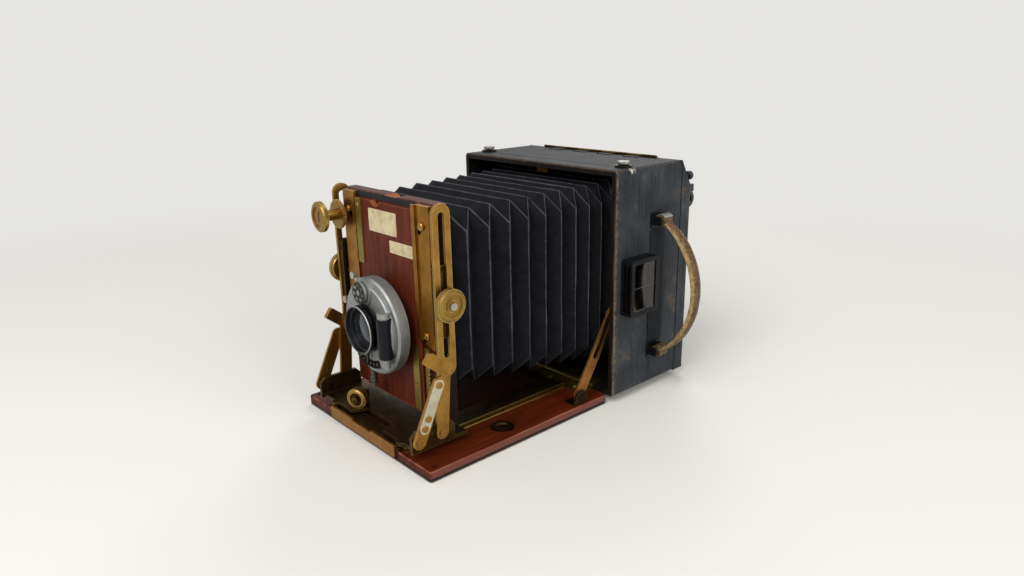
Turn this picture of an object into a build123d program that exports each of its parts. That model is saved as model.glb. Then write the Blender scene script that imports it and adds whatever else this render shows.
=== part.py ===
from build123d import *
import math
import os

# Frame: +Z up, the lens looks along -Y, the handle is on the +X side.
# The origin is the middle of the bed's underside, on the mid-plane of the camera.

# Fits
RUN = 0.05
SLIDE = 0.15
SIDE = 0.3
FACE = 0.4
CUT = 1.0

# Case
CASE_W = 162.0
CASE_H = 165.0
CASE_D = 73.0
CASE_Y = 80.0
CASE_Z = 5.3
WALL = 4.0
LEATHER = 0.8
EDGE_R = 2.0
BELLOWS_FRAME_T = 6.0

# Back
BACK_T = 11.0
BACK_SLOPE = 19.0
SQUARE_EDGE = 20.5
SQUARE_SILL = 3.0
INSERT_SUNK = 1.0
PICTURE_EDGE_X = 8.0
PICTURE_EDGE_Z = 21.0
REBATE = 2.0
GLASS_T = 1.8

# Focusing door and its hinge
DOOR_EDGE_X = 2.0
DOOR_EDGE_Z = 14.5
DOOR_T = 4.0
DOOR_R = 3.0
DOOR_PANEL_EDGE = 12.0
DOOR_PANEL_DEEP = 1.0
DOOR_PIN_R = 0.8
DOOR_BARREL_R = 1.7
DOOR_KNUCKLES = 5
DOOR_LEAF_T = 1.2
DOOR_LEAF_L = 8.0

# Back catch
CATCH_INSET = 5.5
CATCH_DROP = 22.3
CATCH_REACH = 4.2
CATCH_T = 2.6
CATCH_PIN_R = 1.2
CATCH_EYE_R = 2.6
LUG_T = 1.9
LUG_R = 3.0
HOOK_R = 6.4
HOOK_W = 2.5
HOOK_DROP = 8.6
KNOB_DROP = 13.3
KNOB_R = 3.4
KNOB_T = 4.0
KNOB_POST_R = 1.6
KNOB_STAND = 3.0

# Bed
BED_L = 158.0
BED_T = 7.0
BED_CORNER_R = 2.0
BED_BEVEL = 0.6
BED_SIDE_GAP = 0.5
BED_HOLE = 2.0
BED_HOLE_DEEP = 3.0
BED_HOLE_EDGE = 6.6
BED_BARREL_R = 1.9
BED_PIN_R = 0.8
BED_BARREL_EDGE = 15.0
HINGE_KNUCKLES = 7
LEAF_T = 0.8
LEAF_L = 13.0

# Bed struts
STRUT_INSET = 6.5
STRUT_T = 1.6
STRUT_W = 9.0
STRUT_END = 6.0
STRUT_FOOT_BACK = 24.0
STRUT_FOOT_UP = 5.5
STRUT_STUD_IN = 9.0
STRUT_STUD_UP = 60.1
STUD_R = 2.0
STUD_HEAD = 1.7
STUD_HEAD_T = 1.4
STUD_BOSS = 1.2
STRUT_SLOT = 32.4
RIVET_R = 1.5
RIVET_HEAD = 1.5
RIVET_HEAD_T = 1.2
FOOT_HALF = 7.0
FOOT_TOP_HALF = 4.0
FOOT_UP = 3.4
FOOT_T = 1.8
FOOT_FLANGE = 9.0
FOOT_FLANGE_T = 0.6

# Track, guides and focusing pinion
GUIDE_IN = 42.4
GUIDE_W = 4.1
GUIDE_OVER = 1.8
LIP_T = 1.0
GUIDE_FRONT = 3.0
GUIDE_REAR = 13.0
TRACK_T = 2.45
TRACK_RAIL = 15.0
TRACK_PROUD = 0.2
TRACK_BAR = 11.0
RACK_PITCH = 5.0
RACK_GAP = 2.0
RACK_W = 9.0
RACK_EDGE = 3.6
RACK_SKEW = 4.0
BAR_T = 1.6
BAR_SHORT = 2.4
BAR_DOWN = 3.8
BAR_UP = 4.4
BAR_R = 1.0
BAR_SCOOP_HALF = 12.0
BAR_SCOOP = 1.4
PINION_Y = 21.0
PINION_R = 4.2
PINION_TEETH = 14
TOOTH_H = 1.2
TOOTH_W = 0.9
GEAR_PAST = 0.5
SHAFT_R = 1.6
FOCUS_KNOB_R = 9.0
FOCUS_KNOB_T = 7.0
FOCUS_KNOB_STAND = 2.5
KNOB_RIM = 3.0
KNOB_DISH = 1.2
KNOB_BEVEL = 0.8
BEARING_HALF = 4.0
BEARING_UP = 3.7
BEARING_T = 3.0
BEARING_EDGE = 2.0
BEARING_SHORT = 0.8

# Tripod bush, 3/8 inch thread
BUSH_INSET = 17.5
BUSH_Y = -6.8
BUSH_R = 8.5
BUSH_T = 5.5
BUSH_THREAD_R = 4.76
BUSH_RECESS = 2.0
BUSH_BEVEL = 0.8

# Front frame and lens board
FRAME_HALF = 52.5
FRAME_T = 10.0
FRAME_Z = (20.0, 161.5)
FRAME_BEVEL = 0.8
SCOOP_R = 9.0
SCOOP_X = 4.5
SCOOP_UP = 6.4
WINDOW_EDGE = 2.0
WINDOW_Z = (42.0, 124.0)
SIDE_PLATE_T = 2.9
SIDE_PLATE_H = 46.0
SIDE_PLATE_HALF = 5.5
SIDE_PLATE_R = 3.0
BOARD_T = 3.3
BOARD_LOW = 2.0
BOARD_HIGH = 4.5
BOARD_R = 1.0
NOTCH_R = 6.0
NOTCH_X = -9.0
NOTCH_UP = 3.0
PLAQUE_LARGE = (32.0, 15.0)
PLAQUE_LARGE_EDGE = 18.0
PLAQUE_LARGE_DROP = 12.5
PLAQUE_SMALL = (25.5, 8.0)
PLAQUE_SMALL_EDGE = 3.3
PLAQUE_SMALL_DROP = 27.2
PLAQUE_T = 0.5
PLAQUE_R = 0.8
BOARD_STRIP_W = 6.3
BOARD_STRIP_T = 1.0
BOARD_STRIP_EDGE = 2.6
BOARD_STRIP_L = 44.0
FRAME_RACK_W = 5.0
FRAME_RACK_L = 44.0
FRAME_RACK_T = 2.0
FRAME_RACK_PITCH = 3.0
FRAME_RACK_GAP = 1.5
FRAME_RACK_DEEP = 3.0

# Retaining strips and spool knob
STRIP_W = 13.8
STRIP_EDGE = 3.1
STRIP_GAP = 0.6
STRIP_LOW = 70.0
STRIP_SLANT = 4.0
STRIP_HIGH = 0.9
LIP_OVER = 1.8
STRIP_LIP = 1.1
LIP_ROOT = 1.0
STRIP_SLOT_L = 5.0
STRIP_SLOT_W = 3.0
STRIP_ANGLE = 53.0
STRIP_SCREW_DROP = 12.6
STRIP_SCREW_RISE = 8.0
STRIP_SCREW_R = 1.3
STRIP_HEAD_R = 2.5
STRIP_HEAD_T = 1.0
SPOOL_IN = 3.5
SPOOL_DROP = 17.5
SPOOL_R = 9.6
SPOOL_HEAD_T = 4.0
SPOOL_FLANGE_R = 9.3
SPOOL_FLANGE_T = 2.4
SPOOL_NECK_R = 3.8
SPOOL_L = 16.6
SPOOL_DISH = 0.8
SPOOL_RIM = 2.4
SPOOL_EAR_T = 1.6
SPOOL_EAR_W = 7.0
SPOOL_EAR_IN = 2.0
SPOOL_WEB = (0.6, 3.6)
SPOOL_SHAFT_R = 2.4
SPOOL_SHAFT_L = 14.0
SPOOL_BLIND = 1.2

# Slotted arms, legs and braces
ARM_GAP = 0.6
ARM_T = 2.2
ARM_W = 13.0
ARM_Y = -49.0
ARM_ABOVE = 2.0
ARM_LOW = 55.0
SLOT_W = 5.0
SLOT_FOOT = 15.0
SLOT_HEAD = 7.5
PLATE_GAP = 0.2
LEG_T = 2.0
LEG_FOOT = (-56.8, 20.0)
LEG_TOP = (-53.5, 59.0)
LEG_W = 9.0
CATCH_BAR = ((-50.5, 60.2), (-66.2, 72.4))
CATCH_BAR_W = 8.5
CATCH_BAR_T = 3.6
CATCH_BAR_R = 1.4
BRACE_T = 1.6
BRACE_FOOT = (-75.3, 20.0)
BRACE_TOP = (-59.0, 54.2)
BRACE_W = 9.0
NICKEL_T = 1.0
NICKEL_W = 7.0
NICKEL_TOP = (-59.8, 53.9)
NICKEL_FOOT = (-71.8, 28.6)
NICKEL_SCREWS = (0.0, 0.77, 1.0)
SCREW_HEAD_R = 2.2
SCREW_HEAD_T = 0.9

# Carriage
PLATE_T = 2.0
PLATE_Y = (-64.0, -36.0)
PLATE_FRONT = -76.0
PLATE_BAY = -66.0
PLATE_BAY_HALF = 16.0
PLATE_HORN = 20.0
BOSS_X = 40.5
BOSS_R = 3.8
EAR_TOP = 26.0
EAR_CUT = 4.0
EAR_Y = (-79.0, -46.0)
CARRIAGE_KNOB_X = -23.0
CARRIAGE_KNOB_TURN = 25.0
CARRIAGE_KNOB_R = 6.8
CARRIAGE_KNOB_T = 6.0
CARRIAGE_KNOB_RIM = 2.0
CARRIAGE_KNOB_DISH = 2.4
CARRIAGE_KNOB_BEVEL = 0.6
CARRIAGE_STUD_R = 2.0
CARRIAGE_STUD_L = 8.0
CARRIAGE_POST_HALF = 5.0
CARRIAGE_POST_T = 3.0

# Clamp studs and thumb nuts
CLAMP_Z = 102.5
CLAMP_R = 2.2
CLAMP_PAST = 9.3
NUT_R = 9.8
NUT_T = 5.0
NUT_HUB_R = 5.0
NUT_HUB_T = 2.4
NUT_BEVEL = 0.7
NUT_RIM = 2.2
NUT_DISH = 0.8
NUT_BOSS_R = 3.8

# Shutter and lens
LENS_Z = 77.4
FLANGE_R = 22.0
FLANGE_T = 6.4
SHUTTER_R = 32.5
SHUTTER_T = 8.1
SHUTTER_BEVEL = 1.2
COVER_R = 28.5
COVER_T = 2.6
COVER_BEVEL = 0.8
BORE_R = 12.0
CELL_R = 13.8
CELL_L = 8.0
RIM_R = 16.0
RIM_T = 3.2
CELL_WALL = 3.2
CELL_TAIL = 5.0
REAR_L = 14.0
REAR_IN = 4.0
REAR_WALL = 2.4
LENS_T = 3.0
GLASS_DOME = 1.6
GLASS_IN = 2.0
GLASS_REAR_IN = 6.0
IRIS_IN = 8.0
IRIS_T = 0.6
IRIS_R = 3.6
DIAL = (-2.6, 23.8)
DIAL_R = 7.2
DIAL_T = 2.2
DIAL_BEVEL = 0.4
DIAL_POST_R = 1.6
DIAL_POST_UP = 0.8
DIAL_BOSS_R = 9.4
DIAL_BOSS_UP = 1.0
CYLINDER_X = 22.6
CYLINDER_UP = -1.2
CYLINDER_R = 5.0
CYLINDER_L = 27.0
CYLINDER_SUNK = 3.4
CYLINDER_ROUND = 0.9
CAP_R = 4.2
CAP_L = 3.4
PISTON_R = 2.6
PISTON_L = 6.4
NIPPLE_X = -9.0
NIPPLE_R = 1.9
NIPPLE_RIB = 0.7
NIPPLE_LOW = 44.4
NIPPLE_RIBS = 3
NIPPLE_PITCH = 2.6
NIPPLE_RIB_T = 1.2
POINTER_RING = 2.0
POINTER_T = 1.2
POINTER_ROOT_HALF = 2.0
POINTER_TIP_HALF = 0.8
POINTER_L = 8.0
LEVER_R = (26.5, 38.0)
LEVER_T = 1.5
LEVER_W = 3.0
LEVER_IN = 3.4
LEVER_PAD_R = 2.4
LEVER_PAD_UP = 1.5
LEVER_MARGIN = 6.0
SET_ANGLE = 129.0
SET_SWEEP = 34.0
RELEASE_ANGLE = 165.0
RELEASE_SWEEP = 12.0
ARC_STEPS = 8

# Bellows
PLEATS = 16
PLEAT_EASE = 0.5
BELLOWS_WALL = 1.2
PLEAT_DEPTH = 7.5
CORNER_X = 9.5
CORNER_Z = 12.5
BELLOWS_FRONT_OUT = 5.5
BELLOWS_FRONT_LOW = 23.0
BELLOWS_FRONT_HIGH = 5.5
BELLOWS_REAR_IN = 7.0
BELLOWS_REAR_LOW = 12.2
BELLOWS_REAR_HIGH = 6.3

# Top flap and press buttons
FLAP_EDGE = 19.5
FLAP_FRONT = 15.5
FLAP_REAR = 4.2
FLAP_BEVEL = 0.8
FLAP_HINGE_EDGE = 2.0
FLAP_KNUCKLES = 9
FLAP_LEAF_T = 0.5
FLAP_LEAF_L = 6.0
FLAP_PIN_BACK = 1.5
FLAP_BARREL_R = 0.95
FLAP_PIN_R = 0.45
BUTTON_INSET = 9.4
BUTTON_BACK = 18.0
BUTTON_R = 3.0
BUTTON_UP = 4.1
BUTTON_HEAD_R = 4.4
BUTTON_HEAD_T = 1.6
BUTTON_ROUND = 0.5
BUTTON_FLANGE_R = 4.2
BUTTON_FLANGE_T = 1.4
LATCH_HALF = 2.0
LATCH_T = 2.4
LATCH_FRONT = 4.0

# Handle and finder
HANDLE_BACK = 46.0
HANDLE_OUT = 6.0
HANDLE_LOW = 26.7
HANDLE_HIGH = 39.3
HANDLE_BULGE = 29.0
HANDLE_T = 4.6
HANDLE_W = 11.0
HANDLE_BAR_R = 1.8
EYE_R = 4.4
BACKING_HALF = 8.0
BACKING_T = 0.9
BACKING_R = 3.0
BRACKET_HALF = 6.0
BRACKET_T = 1.2
BRACKET_R = 2.5
CHEEK_HALF = 3.2
CHEEK_W = 1.4
CHEEK_PAST = 2.8
CHEEK_ROUND = 1.6
FINDER_OUT = 10.0
FINDER_BACK = (7.0, 36.5)
FINDER_UP = (61.7, 102.7)
FINDER_WALL = 3.0
FINDER_FLOOR = 1.2
FINDER_R = 2.0
FINDER_ROOM_R = 1.0
FINDER_GLASS_T = 1.4
FINDER_GLASS_SUNK = 0.8
HOOD_WALL = 2.0
HOOD_GLASS_SUNK = 0.6


def block(x, y, z):
    """Box between two limits on each axis."""
    centre = Pos(sum(x) / 2, sum(y) / 2, sum(z) / 2)
    return centre * Box(x[1] - x[0], y[1] - y[0], z[1] - z[0])


def rod_x(radius, x, y, z):
    """Round bar along X."""
    return Pos(sum(x) / 2, y, z) * Rot(0, 90, 0) * Cylinder(radius, x[1] - x[0])


def rod_y(radius, x, y, z):
    """Round bar along Y."""
    return Pos(x, sum(y) / 2, z) * Rot(90, 0, 0) * Cylinder(radius, y[1] - y[0])


def rod_z(radius, x, y, z):
    """Round bar along Z."""
    return Pos(x, y, sum(z) / 2) * Cylinder(radius, z[1] - z[0])


def side_shape(sketch, x):
    """Outline drawn in Y and Z, given thickness along X."""
    return Pos(x[0], 0, 0) * extrude(Plane.YZ * sketch, amount=x[1] - x[0])


def front_shape(sketch, y):
    """Outline drawn in X and Z, given thickness along Y."""
    return Pos(0, y[1], 0) * extrude(Plane.XZ * sketch, amount=y[1] - y[0])


def between(start, end):
    """Place and turn of a bar that runs from one point to another."""
    turn = math.degrees(math.atan2(end[1] - start[1], end[0] - start[0]))
    return Pos((start[0] + end[0]) / 2, (start[1] + end[1]) / 2) * Rot(0, 0, turn)


def slot_outline(start, end, width):
    """Bar outline with round ends between two points."""
    return between(start, end) * SlotCenterToCenter(math.dist(start, end), width)


def outline(*points):
    """Closed outline with straight sides."""
    return make_face(Polyline(*points, close=True))


def rounded(u, v, radius):
    """Rectangle between limits with round corners."""
    return Pos(sum(u) / 2, sum(v) / 2) * RectangleRounded(u[1] - u[0], v[1] - v[0], radius)


def pair(shape):
    """A piece and its mirror image across the mid-plane."""
    return Compound(children=[*shape.solids(), *mirror(shape, about=Plane.YZ).solids()])


def save(name, shape):
    export_step(shape, f"parts/{name}.step")


def group(shapes):
    """Separate solids kept together as one piece."""
    return Compound(children=[solid for shape in shapes for solid in shape.solids()])


def hinge_side(first, count, length, radius, pin, leaf_y, leaf_z):
    """Every second barrel of a hinge with count barrels, each with its block of leaf."""
    step = length / count
    side = None
    for i in range(first, count, 2):
        low = -length / 2 + i * step + SLIDE / 2
        barrel_x = (low, low + step - SLIDE)
        barrel = rod_x(radius, barrel_x, *pin) + block(barrel_x, leaf_y, leaf_z)
        side = barrel if side is None else side + barrel
    return side


os.makedirs("parts", exist_ok=True)

half_w = CASE_W / 2
case_top = CASE_Z + CASE_H
back_y = CASE_Y + CASE_D
rear_y = back_y + BACK_T
in_x = half_w - WALL
in_low = CASE_Z + WALL
in_top = case_top - WALL
mid_z = CASE_Z + CASE_H / 2
flap_half = half_w - FLAP_EDGE
flap_y = (CASE_Y + FLAP_FRONT, back_y - FLAP_REAR)
button = (half_w - BUTTON_INSET, CASE_Y + BUTTON_BACK)
bed_barrel_l = 2 * (in_x - BED_BARREL_EDGE)
bed_pin = (CASE_Y - FACE, BED_T + BED_BARREL_R + SIDE)
handle_x = half_w + HANDLE_OUT
handle_y = CASE_Y + HANDLE_BACK
handle_z = (CASE_Z + HANDLE_LOW, case_top - HANDLE_HIGH)

# Case: wooden box open at the front and the rear, with an opening in its roof
core_x = (LEATHER - half_w, half_w - LEATHER)
core_z = (CASE_Z + LEATHER, case_top - LEATHER)
case = block(core_x, (CASE_Y, back_y), core_z)
case = fillet(case.edges().filter_by(Axis.Y), EDGE_R)
case -= block((-in_x, in_x), (CASE_Y - CUT, back_y + CUT), (in_low, in_top))
roof_z = (in_top - CUT, case_top + CUT)
flap_opening = block(
    (-flap_half - SIDE, flap_half + SIDE),
    (flap_y[0] - SIDE, flap_y[1] + SIDE),
    roof_z,
)
barrel_reach = bed_barrel_l / 2 + CUT
barrel_room = rod_x(BED_BARREL_R + FACE, (-barrel_reach, barrel_reach), *bed_pin)
button_bores = pair(rod_z(BUTTON_R + RUN, *button, roof_z))
case_cuts = [flap_opening, barrel_room, *button_bores.solids()]
save("body_case", case - case_cuts)

# Leather skin round the case, with the backing strip behind the handle
skin = block((-half_w, half_w), (CASE_Y + LEATHER, back_y), (CASE_Z, case_top))
skin = fillet(skin.edges().filter_by(Axis.Y), EDGE_R + LEATHER)
skin_core = block(core_x, (CASE_Y - CUT, back_y + CUT), core_z)
skin -= fillet(skin_core.edges().filter_by(Axis.Y), EDGE_R)
skin -= case_cuts
backing_outline = rounded(
    (handle_y - BACKING_HALF, handle_y + BACKING_HALF),
    (handle_z[0] + BRACKET_HALF + SIDE, handle_z[1] - BRACKET_HALF - SIDE),
    BACKING_R,
)
skin += side_shape(backing_outline, (half_w - LEATHER / 2, half_w + BACKING_T))
save("case_leather", skin)

# Wooden frame that holds the rear end of the bellows
square_half = CASE_H / 2 - SQUARE_EDGE
sill_half = square_half - SQUARE_SILL
bellows_seat_y = back_y - BELLOWS_FRAME_T
bellows_frame = block((-in_x, in_x), (bellows_seat_y, back_y), (in_low, in_top))
bellows_frame -= block(
    (-sill_half, sill_half),
    (bellows_seat_y - CUT, back_y + CUT),
    (mid_z - sill_half, mid_z + sill_half),
)
save("bellows_frame", bellows_frame)

# Back frame with a sloping top, square reversing insert and ground glass
back_outline = outline(
    (back_y, CASE_Z),
    (rear_y, CASE_Z),
    (rear_y, case_top - BACK_SLOPE),
    (back_y, case_top),
)
back = side_shape(back_outline, (-half_w, half_w))
square_x = (-square_half, square_half)
square_z = (mid_z - square_half, mid_z + square_half)
save("back_frame", back - block(square_x, (back_y - CUT, rear_y + CUT), square_z))

insert_y = rear_y - INSERT_SUNK
picture_x = square_half - PICTURE_EDGE_X
picture_z = square_half - PICTURE_EDGE_Z
insert = block(square_x, (back_y, insert_y), square_z)
insert -= block(
    (-picture_x, picture_x),
    (back_y - CUT, insert_y + CUT),
    (mid_z - picture_z, mid_z + picture_z),
)
screen_x = (-picture_x - REBATE, picture_x + REBATE)
screen_z = (mid_z - picture_z - REBATE, mid_z + picture_z + REBATE)
insert -= block(screen_x, (insert_y - GLASS_T, insert_y + CUT), screen_z)
save("back_insert", insert)
save("ground_glass", block(screen_x, (insert_y - GLASS_T, insert_y), screen_z))

# Focusing door on the back, hung from a hinge along its top edge
door_x = square_half - DOOR_EDGE_X
door_low = mid_z - square_half + DOOR_EDGE_Z
door_top = mid_z + square_half - DOOR_EDGE_Z
door_y = (insert_y + SIDE, insert_y + SIDE + DOOR_T)
door_pin = (insert_y + SIDE + DOOR_BARREL_R, door_top + SIDE + DOOR_BARREL_R)
door = front_shape(rounded((-door_x, door_x), (door_low, door_top), DOOR_R), door_y)
panel = rounded(
    (DOOR_PANEL_EDGE - door_x, door_x - DOOR_PANEL_EDGE),
    (door_low + DOOR_PANEL_EDGE, door_top - DOOR_PANEL_EDGE),
    DOOR_R,
)
door -= front_shape(panel, (door_y[1] - DOOR_PANEL_DEEP, door_y[1] + CUT))
lug_y = (door_y[0] + SLIDE, door_pin[0] + DOOR_PIN_R)
lug_z = (door_top - 2 * DOOR_BARREL_R, door_pin[1])
door += hinge_side(1, DOOR_KNUCKLES, 2 * door_x, DOOR_BARREL_R, door_pin, lug_y, lug_z)
door -= rod_x(DOOR_PIN_R + RUN, (-door_x, door_x), *door_pin)
save("focusing_door", door)

leaf_y = (insert_y, insert_y + DOOR_LEAF_T)
leaf_z = (door_pin[1], door_pin[1] + DOOR_LEAF_L)
door_base = hinge_side(0, DOOR_KNUCKLES, 2 * door_x, DOOR_BARREL_R, door_pin, leaf_y, leaf_z)
door_base += rod_x(DOOR_PIN_R, (SLIDE - door_x, door_x - SLIDE), *door_pin)
save("door_hinge_base", door_base)

# Back catch: a lug and knob on the back frame and a curled hook that swings on the lug
catch_at = half_w - CATCH_INSET
catch_pin = (rear_y + CATCH_REACH, case_top - CATCH_DROP)
catch_x = (catch_at - CATCH_T / 2, catch_at + CATCH_T / 2)
lug_outline = rounded(
    (rear_y, catch_pin[0] + LUG_R),
    (catch_pin[1] - LUG_R, catch_pin[1] + LUG_R),
    CATCH_PIN_R,
)
lug_reach = (catch_x[0] - SIDE - LUG_T, catch_x[1] + SIDE + LUG_T)
lug = side_shape(lug_outline, (lug_reach[0], catch_x[0] - SIDE))
lug += side_shape(lug_outline, (catch_x[1] + SIDE, lug_reach[1]))
lug += rod_x(CATCH_PIN_R, lug_reach, *catch_pin)
knob_z = case_top - KNOB_DROP
knob_y = (rear_y + KNOB_STAND, rear_y + KNOB_STAND + KNOB_T)
knob_post = rod_y(KNOB_POST_R, catch_at, (back_y + CUT, knob_y[0] + CUT), knob_z) - back
knob_head = rod_y(KNOB_R, catch_at, knob_y, knob_z)
knob_head = fillet(knob_head.edges(), KNOB_T / 4)
save("back_catch_base", group([lug, knob_post + knob_head]))

hook_mid = (catch_pin[0] + HOOK_W / 4, catch_pin[1] - HOOK_DROP)
hook_sketch = Pos(*hook_mid) * (Circle(HOOK_R) - Circle(HOOK_R - HOOK_W))
hook_sketch -= Pos(hook_mid[0] - HOOK_R, hook_mid[1] + HOOK_W) * Rectangle(2 * HOOK_R, 2 * HOOK_R + HOOK_W)
hook_sketch += Pos(*catch_pin) * Circle(CATCH_EYE_R)
hook_root = (hook_mid[0] + HOOK_W / 2, hook_mid[1] + HOOK_R - HOOK_W / 2)
hook_sketch += slot_outline(catch_pin, hook_root, HOOK_W)
hook = side_shape(hook_sketch, catch_x)
hook -= rod_x(CATCH_PIN_R + RUN, lug_reach, *catch_pin)
save("back_catch", hook)

# Top flap with its long hinge
flap_pin = (flap_y[1] + FLAP_PIN_BACK, case_top + FLAP_BARREL_R + SLIDE)
flap = block((-flap_half, flap_half), flap_y, (in_top, case_top))
flap = chamfer(flap.edges().filter_by(Axis.X).group_by(Axis.Y)[0].sort_by(Axis.Z)[-1], FLAP_BEVEL)
flap_l = 2 * (flap_half - FLAP_HINGE_EDGE)
leaf_z = (case_top, case_top + FLAP_LEAF_T)
leaf_y = (flap_y[1] - FLAP_LEAF_L, flap_pin[0])
flap += hinge_side(1, FLAP_KNUCKLES, flap_l, FLAP_BARREL_R, flap_pin, leaf_y, leaf_z)
flap -= rod_x(FLAP_PIN_R + RUN, (-flap_l, flap_l), *flap_pin)
save("top_flap", flap)

leaf_y = (flap_pin[0], back_y - SIDE)
flap_base = hinge_side(0, FLAP_KNUCKLES, flap_l, FLAP_BARREL_R, flap_pin, leaf_y, leaf_z)
flap_base += rod_x(FLAP_PIN_R, (SLIDE - flap_l / 2, flap_l / 2 - SLIDE), *flap_pin)
save("flap_hinge_base", flap_base)

# Press buttons that free the bed's latch
button_low = in_top - FACE / 2 - BUTTON_FLANGE_T
for name, sign in (("press_button_right", 1), ("press_button_left", -1)):
    x = sign * button[0]
    head_top = case_top + BUTTON_UP
    head = rod_z(BUTTON_HEAD_R, x, button[1], (head_top - BUTTON_HEAD_T, head_top))
    head = fillet(head.edges().group_by(Axis.Z)[-1], BUTTON_ROUND)
    stem = head + rod_z(BUTTON_R, x, button[1], (button_low, head_top - BUTTON_HEAD_T))
    stem += rod_z(BUTTON_FLANGE_R, x, button[1], (button_low, in_top - FACE / 2))
    latch_y = (CASE_Y + LATCH_FRONT, button[1])
    stem += block((x - LATCH_HALF, x + LATCH_HALF), latch_y, (in_top - FACE - LATCH_T, in_top - FACE))
    save(name, stem)

# Bed: mahogany board, leather underside, hinge
bed_half = in_x - BED_SIDE_GAP
bed_y = (-BED_L / 2, BED_L / 2)
bush = (bed_half - BUSH_INSET, BUSH_Y)
bed_outline = rounded((-bed_half, bed_half), bed_y, BED_CORNER_R)
bed = Pos(0, 0, LEATHER) * extrude(bed_outline, amount=BED_T - LEATHER)
bed = chamfer(bed.edges().group_by(Axis.Z)[-1], BED_BEVEL)
bed -= rod_z(BUSH_R, *bush, (0, BED_T + CUT))
bed -= rod_z(BUSH_R + BUSH_RECESS, *bush, (BUSH_T, BED_T + CUT))
hole_z = (BED_T - BED_HOLE_DEEP, BED_T + CUT)
bed -= pair(rod_z(BED_HOLE, button[0], bed_y[0] + BED_HOLE_EDGE, hole_z)).solids()
save("bed_board", bed)

bed_skin = extrude(bed_outline, amount=LEATHER)
save("bed_leather", bed_skin - rod_z(BUSH_R, *bush, (-CUT, BED_T)))

barrel_x = (-bed_barrel_l / 2, bed_barrel_l / 2)
leaf_start = BED_BARREL_R + FACE
leaf_z = (BED_T, BED_T + LEAF_T)
root_y = (bed_pin[0] - leaf_start - FACE, bed_pin[0] - BED_BARREL_R / 2)
bed_leaf = hinge_side(1, HINGE_KNUCKLES, bed_barrel_l, BED_BARREL_R, bed_pin, root_y, leaf_z)
bed_leaf += block(barrel_x, (bed_pin[0] - LEAF_L, bed_pin[0] - leaf_start), leaf_z)
bed_leaf -= rod_x(BED_PIN_R + RUN, barrel_x, *bed_pin)
save("bed_hinge_leaf", bed_leaf)

leaf_z = (in_low, in_low + LEAF_T)
root_y = (bed_pin[0], bed_pin[0] + leaf_start + FACE)
bed_base = hinge_side(0, HINGE_KNUCKLES, bed_barrel_l, BED_BARREL_R, bed_pin, root_y, leaf_z)
bed_base += block(barrel_x, (bed_pin[0] + leaf_start, bed_pin[0] + LEAF_L), leaf_z)
bed_base += rod_x(BED_PIN_R, barrel_x, *bed_pin)
save("bed_hinge_base", bed_base)

# Bed struts: slotted bars between a bracket on the bed and a stud in the case wall
strut_foot = (BED_L / 2 - STRUT_FOOT_BACK, BED_T + STRUT_FOOT_UP)
strut_stud = (CASE_Y + STRUT_STUD_IN, CASE_Z + STRUT_STUD_UP)
strut_x = (in_x - STRUT_INSET, in_x - STRUT_INSET + STRUT_T)
strut_run = math.dist(strut_foot, strut_stud)


def strut_point(distance):
    """Point on the strut's middle line at a distance from its foot."""
    share = distance / strut_run
    return tuple(a + (b - a) * share for a, b in zip(strut_foot, strut_stud))


strut_sketch = slot_outline(strut_foot, strut_point(strut_run + STRUT_END), STRUT_W)
strut_slot = (strut_point(strut_run - STRUT_SLOT), strut_point(strut_run + SIDE))
strut_sketch -= slot_outline(*strut_slot, 2 * (STUD_R + FACE))
strut_sketch -= Pos(*strut_foot) * Circle(RIVET_R + RUN)
save("struts", pair(side_shape(strut_sketch, strut_x)))

inner_x = strut_x[0] - FACE
outer_x = strut_x[1] + FACE
stud = rod_x(STUD_R + STUD_BOSS, (outer_x, in_x), *strut_stud)
stud += rod_x(STUD_R, (inner_x, outer_x), *strut_stud)
stud += rod_x(STUD_R + STUD_HEAD, (inner_x - STUD_HEAD_T, inner_x), *strut_stud)
save("strut_studs", pair(stud))

foot_outline = outline(
    (strut_foot[0] - FOOT_HALF, BED_T),
    (strut_foot[0] + FOOT_HALF, BED_T),
    (strut_foot[0] + FOOT_TOP_HALF, strut_foot[1] + FOOT_UP),
    (strut_foot[0] - FOOT_TOP_HALF, strut_foot[1] + FOOT_UP),
)
lug_x = (outer_x, outer_x + FOOT_T)
bracket = side_shape(foot_outline, lug_x)
flange_y = (strut_foot[0] - FOOT_HALF, strut_foot[0] + FOOT_HALF)
bracket += block((outer_x - FOOT_FLANGE, lug_x[1]), flange_y, (BED_T, BED_T + FOOT_FLANGE_T))
bracket += rod_x(RIVET_R, (inner_x, lug_x[1]), *strut_foot)
bracket += rod_x(RIVET_R + RIVET_HEAD, (inner_x - RIVET_HEAD_T, inner_x), *strut_foot)
save("strut_brackets", pair(bracket))

# Track guides on the bed
guide_out = GUIDE_IN + GUIDE_W
guide_lip = GUIDE_IN - GUIDE_OVER
guide_y = (bed_y[0] + GUIDE_FRONT, bed_y[1] - GUIDE_REAR)
track_z = (BED_T + SLIDE, BED_T + SLIDE + TRACK_T)
lip_z = (track_z[1] + SIDE, track_z[1] + SIDE + LIP_T)
guide = block((GUIDE_IN, guide_out), guide_y, (BED_T, lip_z[1]))
guide += block((guide_lip, guide_out), guide_y, lip_z)
save("track_guides", pair(guide))

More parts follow.
